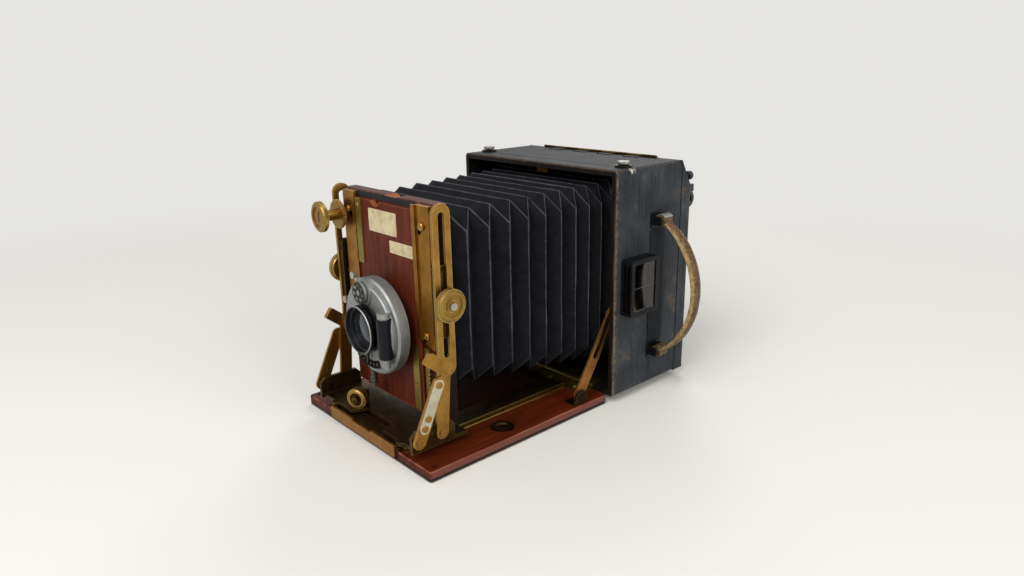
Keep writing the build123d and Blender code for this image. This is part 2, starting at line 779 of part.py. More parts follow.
# Track: brass frame with slanting rack slots in its left rail
track_half = GUIDE_IN - SIDE
track_y = (bed_y[0] - TRACK_PROUD, guide_y[1])
track_cut_z = (track_z[0] - CUT, track_z[1] + CUT)
rail_in = track_half - TRACK_RAIL
track = block((-track_half, track_half), track_y, track_z)
track -= block((-rail_in, rail_in), (track_y[0] + TRACK_BAR, track_y[1] - TRACK_BAR), track_cut_z)
rack_x = (RACK_EDGE - track_half, RACK_EDGE + RACK_W - track_half)
rack_count = int((track_y[1] - track_y[0] - 3 * TRACK_BAR) / RACK_PITCH)
rack_slots = []
for i in range(rack_count):
    y = track_y[0] + 2 * TRACK_BAR + i * RACK_PITCH
    slot = outline(
        (rack_x[1], y),
        (rack_x[1], y + RACK_GAP),
        (rack_x[0], y + RACK_GAP + RACK_SKEW),
        (rack_x[0], y + RACK_SKEW),
    )
    rack_slots.append(Pos(0, 0, track_cut_z[0]) * extrude(slot, amount=TRACK_T + 2 * CUT))
save("track_rails", track - rack_slots)

bar_half = GUIDE_IN - BAR_SHORT
bar_z = (BED_T - BAR_DOWN, BED_T + BAR_UP)
bar_y = (track_y[0] - BAR_T, track_y[0])
bar_sketch = rounded((-bar_half, bar_half), bar_z, BAR_R)
bar_sketch -= rounded((-BAR_SCOOP_HALF, BAR_SCOOP_HALF), (bar_z[1] - BAR_SCOOP, bar_z[1] + 2 * BAR_R), BAR_R)
save("track_front_bar", front_shape(bar_sketch, bar_y))

# Focusing pinion with its shaft and milled knob, and the bearings on the bed
pinion_z = track_z[1] + PINION_R + SLIDE
gear_outline = Circle(PINION_R - TOOTH_H)
for i in range(PINION_TEETH):
    tooth = Pos(PINION_R - TOOTH_H, 0) * Rectangle(2 * TOOTH_H, TOOTH_W)
    gear_outline += Rot(0, 0, 360.0 * i / PINION_TEETH) * tooth
gear_outline = Pos(PINION_Y, pinion_z) * (gear_outline & Circle(PINION_R))
gear = side_shape(gear_outline, (rack_x[0] - GEAR_PAST, rack_x[1] + GEAR_PAST))
knob_x = (-bed_half - FOCUS_KNOB_STAND - FOCUS_KNOB_T, -bed_half - FOCUS_KNOB_STAND)
knob = rod_x(FOCUS_KNOB_R, knob_x, PINION_Y, pinion_z)
knob = chamfer(knob.edges(), KNOB_BEVEL)
knob -= rod_x(FOCUS_KNOB_R - KNOB_RIM, (knob_x[0] - CUT, knob_x[0] + KNOB_DISH), PINION_Y, pinion_z)
shaft = rod_x(SHAFT_R, (knob_x[1] - CUT, rack_x[0]), PINION_Y, pinion_z)
save("focus_pinion", shaft + gear + knob)

bearing_y = (PINION_Y - BEARING_HALF, PINION_Y + BEARING_HALF)
bearing_top = pinion_z + BEARING_UP
outer_bearing = side_shape(
    rounded(bearing_y, (BED_T, bearing_top), SHAFT_R),
    (BEARING_EDGE - bed_half, BEARING_EDGE + BEARING_T - bed_half),
)
inner_bearing = side_shape(
    rounded(bearing_y, (lip_z[1], bearing_top), SHAFT_R),
    (-guide_out, -guide_lip - BEARING_SHORT),
)
shaft_bore = rod_x(SHAFT_R + RUN, (-half_w, 0), PINION_Y, pinion_z)
save("pinion_bearings", group([outer_bearing - shaft_bore, inner_bearing - shaft_bore]))

# Tripod bush
bush_ring = rod_z(BUSH_R, *bush, (0, BUSH_T))
bush_ring -= rod_z(BUSH_THREAD_R, *bush, (-CUT, BUSH_T + CUT))
bore_edges = bush_ring.edges().filter_by(GeomType.CIRCLE).group_by(SortBy.RADIUS)[0]
save("tripod_bush", chamfer(bore_edges.sort_by(Axis.Z)[-1], BUSH_BEVEL))

# Carriage: runner between the guide lips, plate above them, upturned ears
plate_x = (FRAME_HALF, FRAME_HALF + SIDE_PLATE_T)
arm_x = (plate_x[1] + ARM_GAP, plate_x[1] + ARM_GAP + ARM_T)
runner_half = guide_lip - FACE
runner_z = (track_z[1] + SLIDE, lip_z[1] + SIDE)
plate_z = (runner_z[1], runner_z[1] + PLATE_T)
carriage = block((-runner_half, runner_half), PLATE_Y, runner_z)
plate_outline = outline(
    (-arm_x[1], PLATE_FRONT),
    (-PLATE_HORN, PLATE_FRONT),
    (-PLATE_BAY_HALF, PLATE_BAY),
    (PLATE_BAY_HALF, PLATE_BAY),
    (PLATE_HORN, PLATE_FRONT),
    (arm_x[1], PLATE_FRONT),
    (arm_x[1], PLATE_Y[1]),
    (-arm_x[1], PLATE_Y[1]),
)
for sign in (-1, 1):
    plate_outline += Pos(sign * BOSS_X, PLATE_FRONT + CUT) * Circle(BOSS_R)
carriage += Pos(0, 0, plate_z[0]) * extrude(plate_outline, amount=PLATE_T)
ear_outline = outline(
    (EAR_Y[0], plate_z[0]),
    (EAR_Y[1], plate_z[0]),
    (EAR_Y[1], EAR_TOP - EAR_CUT),
    (EAR_Y[1] - EAR_CUT, EAR_TOP),
    (EAR_Y[0] + EAR_CUT, EAR_TOP),
    (EAR_Y[0], EAR_TOP - EAR_CUT),
)
carriage += pair(side_shape(ear_outline, arm_x)).solids()
knob_at = (CARRIAGE_KNOB_X, plate_z[1] + FACE + CARRIAGE_KNOB_R)
post_x = (knob_at[0] - CARRIAGE_POST_HALF, knob_at[0] + CARRIAGE_POST_HALF)
post_y = (PLATE_Y[0] - CARRIAGE_POST_T, PLATE_Y[0])
knob_turn = Pos(knob_at[0], post_y[1]) * Rot(0, 0, CARRIAGE_KNOB_TURN) * Pos(-knob_at[0], -post_y[1])
carriage += knob_turn * block(post_x, post_y, (plate_z[0], knob_at[1] + CARRIAGE_POST_HALF))
stud_y = (post_y[0] - CARRIAGE_STUD_L, post_y[1])
carriage += knob_turn * rod_y(CARRIAGE_STUD_R, knob_at[0], stud_y, knob_at[1])
save("carriage_plate", carriage)

knob_y = (post_y[0] - SIDE - CARRIAGE_KNOB_T, post_y[0] - SIDE)
clamp_knob = rod_y(CARRIAGE_KNOB_R, knob_at[0], knob_y, knob_at[1])
clamp_knob = chamfer(clamp_knob.edges(), CARRIAGE_KNOB_BEVEL)
dish_y = (knob_y[0] - CUT, knob_y[0] + CARRIAGE_KNOB_DISH)
clamp_knob -= rod_y(CARRIAGE_KNOB_R - CARRIAGE_KNOB_RIM, knob_at[0], dish_y, knob_at[1])
clamp_knob -= rod_y(CARRIAGE_STUD_R + RUN, knob_at[0], (knob_y[0] - CUT, knob_y[1] + CUT), knob_at[1])
save("carriage_knob", knob_turn * clamp_knob)

# Slotted arms, legs with their catch bars, braces and screws on both sides
leg_x = (arm_x[1] + PLATE_GAP, arm_x[1] + PLATE_GAP + LEG_T)
brace_x = (leg_x[1] + PLATE_GAP, leg_x[1] + PLATE_GAP + BRACE_T)
nickel_x = (brace_x[1], brace_x[1] + NICKEL_T)
arm_top = FRAME_Z[1] + ARM_ABOVE
arm_sketch = slot_outline((ARM_Y, ARM_LOW + ARM_W / 2), (ARM_Y, arm_top - ARM_W / 2), ARM_W)
arm_sketch -= slot_outline((ARM_Y, ARM_LOW + SLOT_FOOT), (ARM_Y, arm_top - SLOT_HEAD), SLOT_W)
save("slotted_arms", pair(side_shape(arm_sketch, arm_x)))

leg = side_shape(slot_outline(LEG_FOOT, LEG_TOP, LEG_W), leg_x)
catch_outline = RectangleRounded(math.dist(*CATCH_BAR), CATCH_BAR_W, CATCH_BAR_R)
leg += side_shape(between(*CATCH_BAR) * catch_outline, (leg_x[0], leg_x[0] + CATCH_BAR_T))
save("lower_legs", pair(leg))

nickel = side_shape(slot_outline(NICKEL_TOP, NICKEL_FOOT, NICKEL_W), nickel_x)
save("brace_plates", pair(nickel))

brace = side_shape(slot_outline(BRACE_FOOT, BRACE_TOP, BRACE_W), brace_x)
brace += rod_x(SCREW_HEAD_R, (arm_x[1], brace_x[1] + SCREW_HEAD_T), *BRACE_FOOT)
brace += rod_x(SCREW_HEAD_R, (leg_x[1], brace_x[1]), *BRACE_TOP)
screws = [brace]
for point in (LEG_FOOT, LEG_TOP):
    screws.append(rod_x(SCREW_HEAD_R, (arm_x[1], leg_x[0]), *point))
screws.append(rod_x(SCREW_HEAD_R, (leg_x[1], leg_x[1] + SCREW_HEAD_T), *LEG_FOOT))
for share in NICKEL_SCREWS:
    point = [a + (b - a) * share for a, b in zip(NICKEL_TOP, NICKEL_FOOT)]
    screws.append(rod_x(SCREW_HEAD_R, (nickel_x[1], nickel_x[1] + SCREW_HEAD_T), *point))
save("brace_bars", pair(group(screws)))

# Clamp studs and thumb nuts
clamp_end = arm_x[1] + CLAMP_PAST
save("clamp_studs", pair(rod_x(CLAMP_R, (plate_x[0] + SIDE, clamp_end), ARM_Y, CLAMP_Z)))
hub_x = (arm_x[1] + SIDE, arm_x[1] + SIDE + NUT_HUB_T)
nut_x = (hub_x[1], hub_x[1] + NUT_T)
nut = rod_x(NUT_R, nut_x, ARM_Y, CLAMP_Z)
nut = chamfer(nut.edges(), NUT_BEVEL)
nut += rod_x(NUT_HUB_R, (hub_x[0], hub_x[1] + CUT), ARM_Y, CLAMP_Z)
nut -= rod_x(NUT_R - NUT_RIM, (nut_x[1] - NUT_DISH, nut_x[1] + CUT), ARM_Y, CLAMP_Z)
nut += rod_x(NUT_BOSS_R, nut_x, ARM_Y, CLAMP_Z)
nut -= rod_x(CLAMP_R + RUN, (hub_x[0] - CUT, nut_x[1] + CUT), ARM_Y, CLAMP_Z)
save("thumb_nut_right", nut)
save("thumb_nut_left", mirror(nut, about=Plane.YZ))

# Front frame: wood with a window for the lens, finger scoop at the top
frame_y = (ARM_Y + FACE, ARM_Y + FACE + FRAME_T)
through_y = (frame_y[0] - CUT, frame_y[1] + CUT)
strip_x = (FRAME_HALF - STRIP_EDGE - STRIP_W, FRAME_HALF - STRIP_EDGE)
board_half = strip_x[0] - STRIP_GAP
window_half = board_half - WINDOW_EDGE
frame = block((-FRAME_HALF, FRAME_HALF), frame_y, FRAME_Z)
frame -= block((-window_half, window_half), through_y, WINDOW_Z)
frame -= rod_y(SCOOP_R, SCOOP_X, through_y, FRAME_Z[1] + SCOOP_UP)
frame = chamfer(frame.edges().filter_by(Axis.X).group_by(Axis.Z)[-1], FRAME_BEVEL)
save("front_frame", frame)

side_z = (CLAMP_Z - SIDE_PLATE_H / 2, CLAMP_Z + SIDE_PLATE_H / 2)
side_sketch = rounded((ARM_Y - SIDE_PLATE_HALF, ARM_Y + SIDE_PLATE_HALF), side_z, SIDE_PLATE_R)
side_sketch -= Pos(ARM_Y, CLAMP_Z) * Circle(CLAMP_R + RUN)
save("side_plates", pair(side_shape(side_sketch, plate_x)))

# Lens board with a notch in its top edge, two plaques and two brass strips
board_y = (frame_y[0] - SLIDE - BOARD_T, frame_y[0] - SLIDE)
board_cut_y = (board_y[0] - CUT, board_y[1] + CUT)
board_z = (FRAME_Z[0] + BOARD_LOW, FRAME_Z[1] - BOARD_HIGH)
board = front_shape(rounded((-board_half, board_half), board_z, BOARD_R), board_y)
board -= rod_y(CELL_R, 0, board_cut_y, LENS_Z)
board -= rod_y(NOTCH_R, NOTCH_X, board_cut_y, board_z[1] + NOTCH_UP)
save("lens_board", board)

plaque_y = (board_y[0] - PLAQUE_T, board_y[0])
large_x = PLAQUE_LARGE_EDGE + PLAQUE_LARGE[0] / 2 - board_half
large = Pos(large_x, board_z[1] - PLAQUE_LARGE_DROP) * RectangleRounded(*PLAQUE_LARGE, PLAQUE_R)
small_x = board_half - PLAQUE_SMALL_EDGE - PLAQUE_SMALL[0] / 2
small = Pos(small_x, board_z[1] - PLAQUE_SMALL_DROP) * RectangleRounded(*PLAQUE_SMALL, PLAQUE_R)
save("name_plaques", group([front_shape(large, plaque_y), front_shape(small, plaque_y)]))

board_strip_x = (board_half - BOARD_STRIP_EDGE - BOARD_STRIP_W, board_half - BOARD_STRIP_EDGE)
board_strip_y = (board_y[0] - BOARD_STRIP_T, board_y[0])
low_z = (board_z[0] + BOARD_LOW, board_z[0] + BOARD_LOW + BOARD_STRIP_L)
high_z = (board_z[1] - BOARD_STRIP_L, board_z[1])
low_strip = block(board_strip_x, board_strip_y, low_z)
high_strip = block((-board_strip_x[1], -board_strip_x[0]), board_strip_y, high_z)
save("board_strips", group([low_strip, high_strip]))

# Retaining strips: brass, slide on slanting slots to free the lens board
strip_z = (STRIP_LOW, FRAME_Z[1] - STRIP_HIGH)
strip_y = (board_y[0], board_y[1])
strip_lip_y = (board_y[0] - SLIDE - STRIP_LIP, board_y[0] - SLIDE)
lip_x = (board_half - LIP_OVER, strip_x[0] + LIP_ROOT)
lip_span = (strip_z[0] + STRIP_SLANT, strip_z[1])
screw_x = sum(strip_x) / 2
screw_heights = (strip_z[1] - STRIP_SCREW_DROP, strip_z[0] + STRIP_SCREW_RISE)
slant = (
    STRIP_SLOT_L * math.cos(math.radians(STRIP_ANGLE)),
    STRIP_SLOT_L * math.sin(math.radians(STRIP_ANGLE)),
)
strip_outline = outline(
    (strip_x[0], lip_span[0]),
    (strip_x[1], strip_z[0]),
    (strip_x[1], strip_z[1]),
    (strip_x[0], strip_z[1]),
)
strip = front_shape(strip_outline, strip_y)
strip += block(lip_x, strip_lip_y, lip_span)
strip += block((strip_x[0], lip_x[1]), (strip_lip_y[0], strip_y[1]), lip_span)
for z in screw_heights:
    slot = slot_outline((screw_x, z), (screw_x - slant[0], z - slant[1]), STRIP_SLOT_W)
    strip -= front_shape(slot, (strip_lip_y[0] - CUT, strip_y[1] + CUT))
save("strip_right", strip)

spool_at = (SPOOL_IN - FRAME_HALF, FRAME_Z[1] - SPOOL_DROP)
spool_rear = ARM_Y - ARM_W / 2 - FACE
ear_y = (spool_rear + SIDE, spool_rear + SIDE + SPOOL_EAR_T)
strip_left = mirror(strip, about=Plane.YZ)
strip_left += front_shape(slot_outline(spool_at, (SPOOL_EAR_IN - strip_x[1], spool_at[1]), SPOOL_EAR_W), ear_y)
web_x = (SPOOL_WEB[0] - strip_x[1], SPOOL_WEB[1] - strip_x[1])
web_z = (spool_at[1] - SPOOL_EAR_W / 2, spool_at[1] + SPOOL_EAR_W / 2)
strip_left += block(web_x, (ear_y[0], strip_y[0] + CUT), web_z)
strip_left += rod_y(SPOOL_SHAFT_R, spool_at[0], (ear_y[0] - SPOOL_SHAFT_L, ear_y[1]), spool_at[1])
save("strip_left", strip_left)

spool_y = (spool_rear - SPOOL_L, spool_rear)
head_y = (spool_y[0], spool_y[0] + SPOOL_HEAD_T)
spool = rod_y(SPOOL_R, spool_at[0], head_y, spool_at[1])
spool = chamfer(spool.edges(), KNOB_BEVEL)
spool -= rod_y(SPOOL_R - SPOOL_RIM, spool_at[0], (head_y[0] - CUT, head_y[0] + SPOOL_DISH), spool_at[1])
spool += rod_y(SPOOL_NECK_R, spool_at[0], (head_y[1] - CUT, spool_y[1]), spool_at[1])
spool += rod_y(SPOOL_FLANGE_R, spool_at[0], (spool_y[1] - SPOOL_FLANGE_T, spool_y[1]), spool_at[1])
spool -= rod_y(SPOOL_SHAFT_R + RUN, spool_at[0], (head_y[0] + SPOOL_BLIND, spool_y[1] + CUT), spool_at[1])
save("spool_knob", spool)

head_y = (strip_y[0] - SLIDE - STRIP_HEAD_T, strip_y[0] - SLIDE)
strip_screws = []
for z in screw_heights:
    screw = rod_y(STRIP_SCREW_R, screw_x, (head_y[1], frame_y[0]), z)
    strip_screws.append(screw + rod_y(STRIP_HEAD_R, screw_x, head_y, z))
save("strip_screws", pair(group(strip_screws)))

# Short rack on the frame below the right retaining strip
rack_out = strip_x[0] + FRAME_RACK_W
rack_z = (low_z[0], low_z[0] + FRAME_RACK_L)
rack = block((strip_x[0], rack_out), (frame_y[0] - FRAME_RACK_T, frame_y[0]), rack_z)
notch_count = int(FRAME_RACK_L / FRAME_RACK_PITCH)
for i in range(notch_count):
    z = rack_z[0] + FRAME_RACK_PITCH * (i + 0.5)
    notch = outline(
        (rack_out + CUT, z - FRAME_RACK_GAP / 2),
        (rack_out - FRAME_RACK_DEEP, z),
        (rack_out + CUT, z + FRAME_RACK_GAP / 2),
    )
    rack -= front_shape(notch, (frame_y[0] - FRAME_RACK_T - CUT, frame_y[0]))
save("frame_rack", rack)

# Shutter housing: flange on the board, drum, cover, bore and lever slots in the rim
drum_y = (board_y[0] - FLANGE_T - SHUTTER_T, board_y[0] - FLANGE_T)
cover_y = (drum_y[0] - COVER_T, drum_y[0])
boss_y = (cover_y[0] - DIAL_BOSS_UP, cover_y[1])
dial_z = LENS_Z + DIAL[1]
lever_y = (drum_y[0] + LEVER_IN, drum_y[0] + LEVER_IN + LEVER_T)
cylinder_y = cover_y[0] + CYLINDER_SUNK - CYLINDER_R
cylinder_mid = LENS_Z + CYLINDER_UP
cylinder_z = (cylinder_mid - CYLINDER_L / 2, cylinder_mid + CYLINDER_L / 2)


def sector(inner, outer, start, sweep):
    """Part of a flat ring round the lens axis, angles in degrees from +X towards +Z."""
    arc = [math.radians(start + sweep * i / ARC_STEPS) for i in range(ARC_STEPS + 1)]
    rim = [(outer * math.cos(a), LENS_Z + outer * math.sin(a)) for a in arc]
    root = [(inner * math.cos(a), LENS_Z + inner * math.sin(a)) for a in reversed(arc)]
    return outline(*rim, *root)


housing = rod_y(SHUTTER_R, 0, drum_y, LENS_Z)
housing = chamfer(housing.edges().group_by(Axis.Y)[0], SHUTTER_BEVEL)
housing += rod_y(FLANGE_R, 0, (drum_y[1], board_y[0]), LENS_Z)
cover = rod_y(COVER_R, 0, cover_y, LENS_Z)
housing += chamfer(cover.edges().group_by(Axis.Y)[0], COVER_BEVEL)
housing += rod_y(DIAL_BOSS_R, DIAL[0], boss_y, dial_z)
for angle, sweep in ((SET_ANGLE, -SET_SWEEP), (RELEASE_ANGLE, RELEASE_SWEEP)):
    margin = math.copysign(LEVER_MARGIN, sweep)
    lever_slot = sector(LEVER_R[0] - LEVER_W, LEVER_R[1], angle - margin, sweep + 2 * margin)
    housing -= front_shape(lever_slot, (lever_y[0] - SIDE, lever_y[1] + SIDE))
housing += rod_z(CAP_R, CYLINDER_X, cylinder_y, (cylinder_z[1], cylinder_z[1] + CAP_L))
housing += rod_z(PISTON_R, CYLINDER_X, cylinder_y, (cylinder_z[0] - PISTON_L, cylinder_z[0]))
cylinder = rod_z(CYLINDER_R, CYLINDER_X, cylinder_y, cylinder_z)
housing -= cylinder
housing += rod_y(DIAL_POST_R, DIAL[0], (boss_y[0] - DIAL_T - DIAL_POST_UP, boss_y[0]), dial_z)
nipple_y = sum(drum_y) / 2
nipple_low = LENS_Z - NIPPLE_LOW
housing += rod_z(NIPPLE_R, NIPPLE_X, nipple_y, (nipple_low, LENS_Z - COVER_R))
for i in range(NIPPLE_RIBS):
    rib_low = nipple_low + i * NIPPLE_PITCH
    housing += rod_z(NIPPLE_R + NIPPLE_RIB, NIPPLE_X, nipple_y, (rib_low, rib_low + NIPPLE_RIB_T))
housing -= rod_y(BORE_R, 0, (cover_y[0] - CUT, board_y[0] + CUT), LENS_Z)
save("shutter_housing", housing)
save("air_cylinder", fillet(cylinder.edges(), CYLINDER_ROUND))

for name, angle in (("set_lever", SET_ANGLE), ("release_lever", RELEASE_ANGLE)):
    way = (math.cos(math.radians(angle)), math.sin(math.radians(angle)))
    ends = [(radius * way[0], LENS_Z + radius * way[1]) for radius in LEVER_R]
    lever = front_shape(slot_outline(*ends, LEVER_W), lever_y)
    lever += front_shape(Pos(*ends[1]) * Circle(LEVER_PAD_R), (lever_y[0] - LEVER_PAD_UP, lever_y[1]))
    save(name, lever)

dial_y = (boss_y[0] - SIDE - DIAL_T, boss_y[0] - SIDE)
dial = rod_y(DIAL_R, DIAL[0], dial_y, dial_z)
dial = chamfer(dial.edges(), DIAL_BEVEL)
dial -= rod_y(DIAL_POST_R + RUN, DIAL[0], (dial_y[0] - CUT, dial_y[1] + CUT), dial_z)
save("speed_dial", dial)

# Lens cells, glasses and iris
glass_r = CELL_R - CELL_WALL
rear_glass_r = BORE_R - REAR_WALL
cell_y = (cover_y[0] - CELL_L, cover_y[0])
rear_cell_y = (board_y[0] - REAR_IN, board_y[0] - REAR_IN + REAR_L)
rim = rod_y(RIM_R, 0, (cell_y[0], cell_y[0] + RIM_T), LENS_Z)
front_cell = chamfer(rim.edges(), COVER_BEVEL)
front_cell += rod_y(CELL_R, 0, (cell_y[0] + RIM_T / 2, cell_y[1]), LENS_Z)
front_cell += rod_y(BORE_R, 0, (cell_y[1], cell_y[1] + CELL_TAIL), LENS_Z)
front_cell -= rod_y(glass_r, 0, (cell_y[0] - CUT, cell_y[1] + CELL_TAIL + CUT), LENS_Z)
rear_cell = rod_y(BORE_R, 0, rear_cell_y, LENS_Z)
rear_cell -= rod_y(rear_glass_r, 0, (rear_cell_y[0] - CUT, rear_cell_y[1] + CUT), LENS_Z)
save("lens_cells", group([front_cell, rear_cell]))


def lens(radius, y0):
    """Plano-convex glass whose domed face looks along -Y."""
    ball = (radius * radius + GLASS_DOME * GLASS_DOME) / (2 * GLASS_DOME)
    body = rod_y(radius, 0, (y0, y0 + LENS_T + GLASS_DOME), LENS_Z)
    return body & (Pos(0, y0 + ball, LENS_Z) * Sphere(ball))


front_glass = lens(glass_r, cell_y[0] + GLASS_IN)
rear_glass = lens(rear_glass_r, rear_cell_y[0] + GLASS_REAR_IN)
save("lens_glasses", group([front_glass, rear_glass]))

iris_y = (cover_y[0] + IRIS_IN, cover_y[0] + IRIS_IN + IRIS_T)
iris = rod_y(BORE_R, 0, iris_y, LENS_Z)
save("iris_leaves", iris - rod_y(IRIS_R, 0, (iris_y[0] - CUT, iris_y[1] + CUT), LENS_Z))

# Aperture pointer: ring round the front cell with a tab over the scale
pointer_y = (boss_y[0] - SIDE - POINTER_T, boss_y[0] - SIDE)
ring_in = CELL_R + SIDE
tab_root = LENS_Z - ring_in - POINTER_RING / 2
pointer_sketch = Pos(0, LENS_Z) * (Circle(ring_in + POINTER_RING) - Circle(ring_in))
pointer_sketch += outline(
    (-POINTER_ROOT_HALF, tab_root),
    (POINTER_ROOT_HALF, tab_root),
    (POINTER_TIP_HALF, tab_root - POINTER_L),
    (-POINTER_TIP_HALF, tab_root - POINTER_L),
)
save("aperture_pointer", front_shape(pointer_sketch, pointer_y))

# Bellows: pleated hollow skin, smaller at the front; its sides and its top fold in turn
bellows_y = (frame_y[1] + SLIDE, bellows_seat_y)
bellows_front = (
    FRAME_HALF + BELLOWS_FRONT_OUT,
    FRAME_Z[0] + BELLOWS_FRONT_LOW,
    FRAME_Z[1] - BELLOWS_FRONT_HIGH,
)
bellows_rear = (in_x - BELLOWS_REAR_IN, in_low + BELLOWS_REAR_LOW, in_top - BELLOWS_REAR_HIGH)


def bellows_ring(index, inset):
    """Eight-cornered section at a fold: odd folds are side ridges, even ones top and bottom ridges."""
    t = index / (2 * PLEATS)
    eased = (1 + PLEAT_EASE) * t - PLEAT_EASE * t * t
    y = bellows_y[0] + (bellows_y[1] - bellows_y[0]) * eased
    half, low, high = (a + (b - a) * eased for a, b in zip(bellows_front, bellows_rear))
    side_x = half - inset - (0.0 if index % 2 else PLEAT_DEPTH)
    side_z = (low + CORNER_Z, high - CORNER_Z)
    top_x = half - inset - CORNER_X
    sunk = inset + (PLEAT_DEPTH if index % 2 else 0.0)
    points = [
        (side_x, y, side_z[0]),
        (side_x, y, side_z[1]),
        (top_x, y, high - sunk),
        (-top_x, y, high - sunk),
        (-side_x, y, side_z[1]),
        (-side_x, y, side_z[0]),
        (-top_x, y, low + sunk),
        (top_x, y, low + sunk),
    ]
    return Wire.make_polygon([Vector(*p) for p in points], close=True)


def bellows_solid(inset):
    """Ruled skin through all the folds."""
    return Solid.make_loft([bellows_ring(i, inset) for i in range(2 * PLEATS + 1)], ruled=True)


save("bellows", bellows_solid(0.0) - bellows_solid(BELLOWS_WALL))

# Handle: stuffed leather strap between two brackets
chord = handle_z[1] - handle_z[0]
bend = (chord * chord / 4 + HANDLE_BULGE * HANDLE_BULGE) / (2 * HANDLE_BULGE)
bend_mid = (handle_x + HANDLE_BULGE - bend, sum(handle_z) / 2)
strap_y = (handle_y - HANDLE_W / 2, handle_y + HANDLE_W / 2)
strap_sketch = Pos(*bend_mid) * (Circle(bend + HANDLE_T / 2) - Circle(bend - HANDLE_T / 2))
strap_sketch -= Pos(handle_x - bend, bend_mid[1]) * Rectangle(2 * bend, 3 * bend)
strap = front_shape(strap_sketch, strap_y)
brackets = []
cheek_y = (strap_y[0] - SIDE - CHEEK_W, strap_y[1] + SIDE + CHEEK_W)
for z in handle_z:
    strap += rod_y(EYE_R, handle_x, strap_y, z)
    strap -= rod_y(HANDLE_BAR_R + RUN, handle_x, cheek_y, z)
    foot = rounded(
        (cheek_y[0] - CHEEK_W, cheek_y[1] + CHEEK_W),
        (z - BRACKET_HALF, z + BRACKET_HALF),
        BRACKET_R,
    )
    bracket = side_shape(foot, (half_w, half_w + BRACKET_T))
    cheek = rounded((half_w, handle_x + CHEEK_PAST), (z - CHEEK_HALF, z + CHEEK_HALF), CHEEK_ROUND)
    bracket += front_shape(cheek, (cheek_y[0], cheek_y[0] + CHEEK_W))
    bracket += front_shape(cheek, (cheek_y[1] - CHEEK_W, cheek_y[1]))
    brackets.append(bracket + rod_y(HANDLE_BAR_R, handle_x, cheek_y, z))
save("handle_strap", strap)
save("handle_brackets", group(brackets))

# Finder: hollow metal box with a window on its side and an open hood at its front
finder_x = (half_w, half_w + FINDER_OUT)
finder_y = (CASE_Y + FINDER_BACK[0], CASE_Y + FINDER_BACK[1])
finder_z = (CASE_Z + FINDER_UP[0], CASE_Z + FINDER_UP[1])
room_y = (finder_y[0] + FINDER_WALL, finder_y[1] - FINDER_WALL)
room_z = (finder_z[0] + FINDER_WALL, finder_z[1] - FINDER_WALL)
room = rounded(room_y, room_z, FINDER_ROOM_R)
hood_x = (finder_x[0] + HOOD_WALL, finder_x[1] - HOOD_WALL)
finder = side_shape(rounded(finder_y, finder_z, FINDER_R), finder_x)
finder -= side_shape(room, (finder_x[0] + FINDER_FLOOR, finder_x[1] + CUT))
finder -= block(hood_x, (finder_y[0] - CUT, room_y[0] + CUT), room_z)
save("finder_body", finder)

window_out = finder_x[1] - FINDER_GLASS_SUNK
window = side_shape(room, (window_out - FINDER_GLASS_T, window_out))
hood_front = finder_y[0] + HOOD_GLASS_SUNK
hood_glass = block(hood_x, (hood_front, hood_front + FINDER_GLASS_T), room_z)
save("finder_glass", group([window, hood_glass]))
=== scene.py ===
# %% [markdown]
# A folding plate camera stands on its open bed: black leather case, pleated bellows, mahogany front,
# aged brass fittings and a dial shutter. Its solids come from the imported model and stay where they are.
# They could be modelled again here, but then picture and model could part. So this script gives each
# solid its finish and adds the soft pieces and the fine fittings in the same frame.

import math

import bmesh
import bpy
from mathutils import Matrix, Vector, noise


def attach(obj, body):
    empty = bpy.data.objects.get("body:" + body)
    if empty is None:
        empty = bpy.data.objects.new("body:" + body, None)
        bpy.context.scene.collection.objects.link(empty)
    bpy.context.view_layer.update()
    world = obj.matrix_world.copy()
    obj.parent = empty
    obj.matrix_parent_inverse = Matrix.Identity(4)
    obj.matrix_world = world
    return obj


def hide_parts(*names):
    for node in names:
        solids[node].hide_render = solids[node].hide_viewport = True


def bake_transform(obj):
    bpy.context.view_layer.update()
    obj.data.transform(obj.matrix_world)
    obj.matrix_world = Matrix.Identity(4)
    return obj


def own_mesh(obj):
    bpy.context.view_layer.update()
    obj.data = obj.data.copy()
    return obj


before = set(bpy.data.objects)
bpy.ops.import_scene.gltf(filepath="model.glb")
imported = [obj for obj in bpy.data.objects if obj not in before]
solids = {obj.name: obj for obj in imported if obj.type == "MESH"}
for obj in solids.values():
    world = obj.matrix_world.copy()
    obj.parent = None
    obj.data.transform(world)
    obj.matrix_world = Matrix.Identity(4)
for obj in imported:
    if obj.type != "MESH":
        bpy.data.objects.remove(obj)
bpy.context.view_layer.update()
MM = 0.001

# %% [markdown]
# The camera that looks at the model stands low and to the right of the lens, as the photograph's did.
# Its place, turn and focal length were worked out from the corners of the case and the bed. A constraint
# could aim it, but a matrix also holds the view's small roll. Its columns are right, up and backwards,
# because a camera looks along its own -Z.

# %% The view
VIEW_PLACE = Vector((405.245, -301.754, 242.236)) * MM
VIEW_YAW = math.radians(48.510)
VIEW_PITCH = math.radians(17.003)
VIEW_ROLL = math.radians(-1.1526)
VIEW_LENS = 26.217
SENSOR_W = 36.0
NEAREST = 0.01


def show(name, data):
    """Object of a mesh, a lamp or a camera, put in the scene."""
    thing = bpy.data.objects.new(name, data)
    bpy.context.scene.collection.objects.link(thing)
    return thing


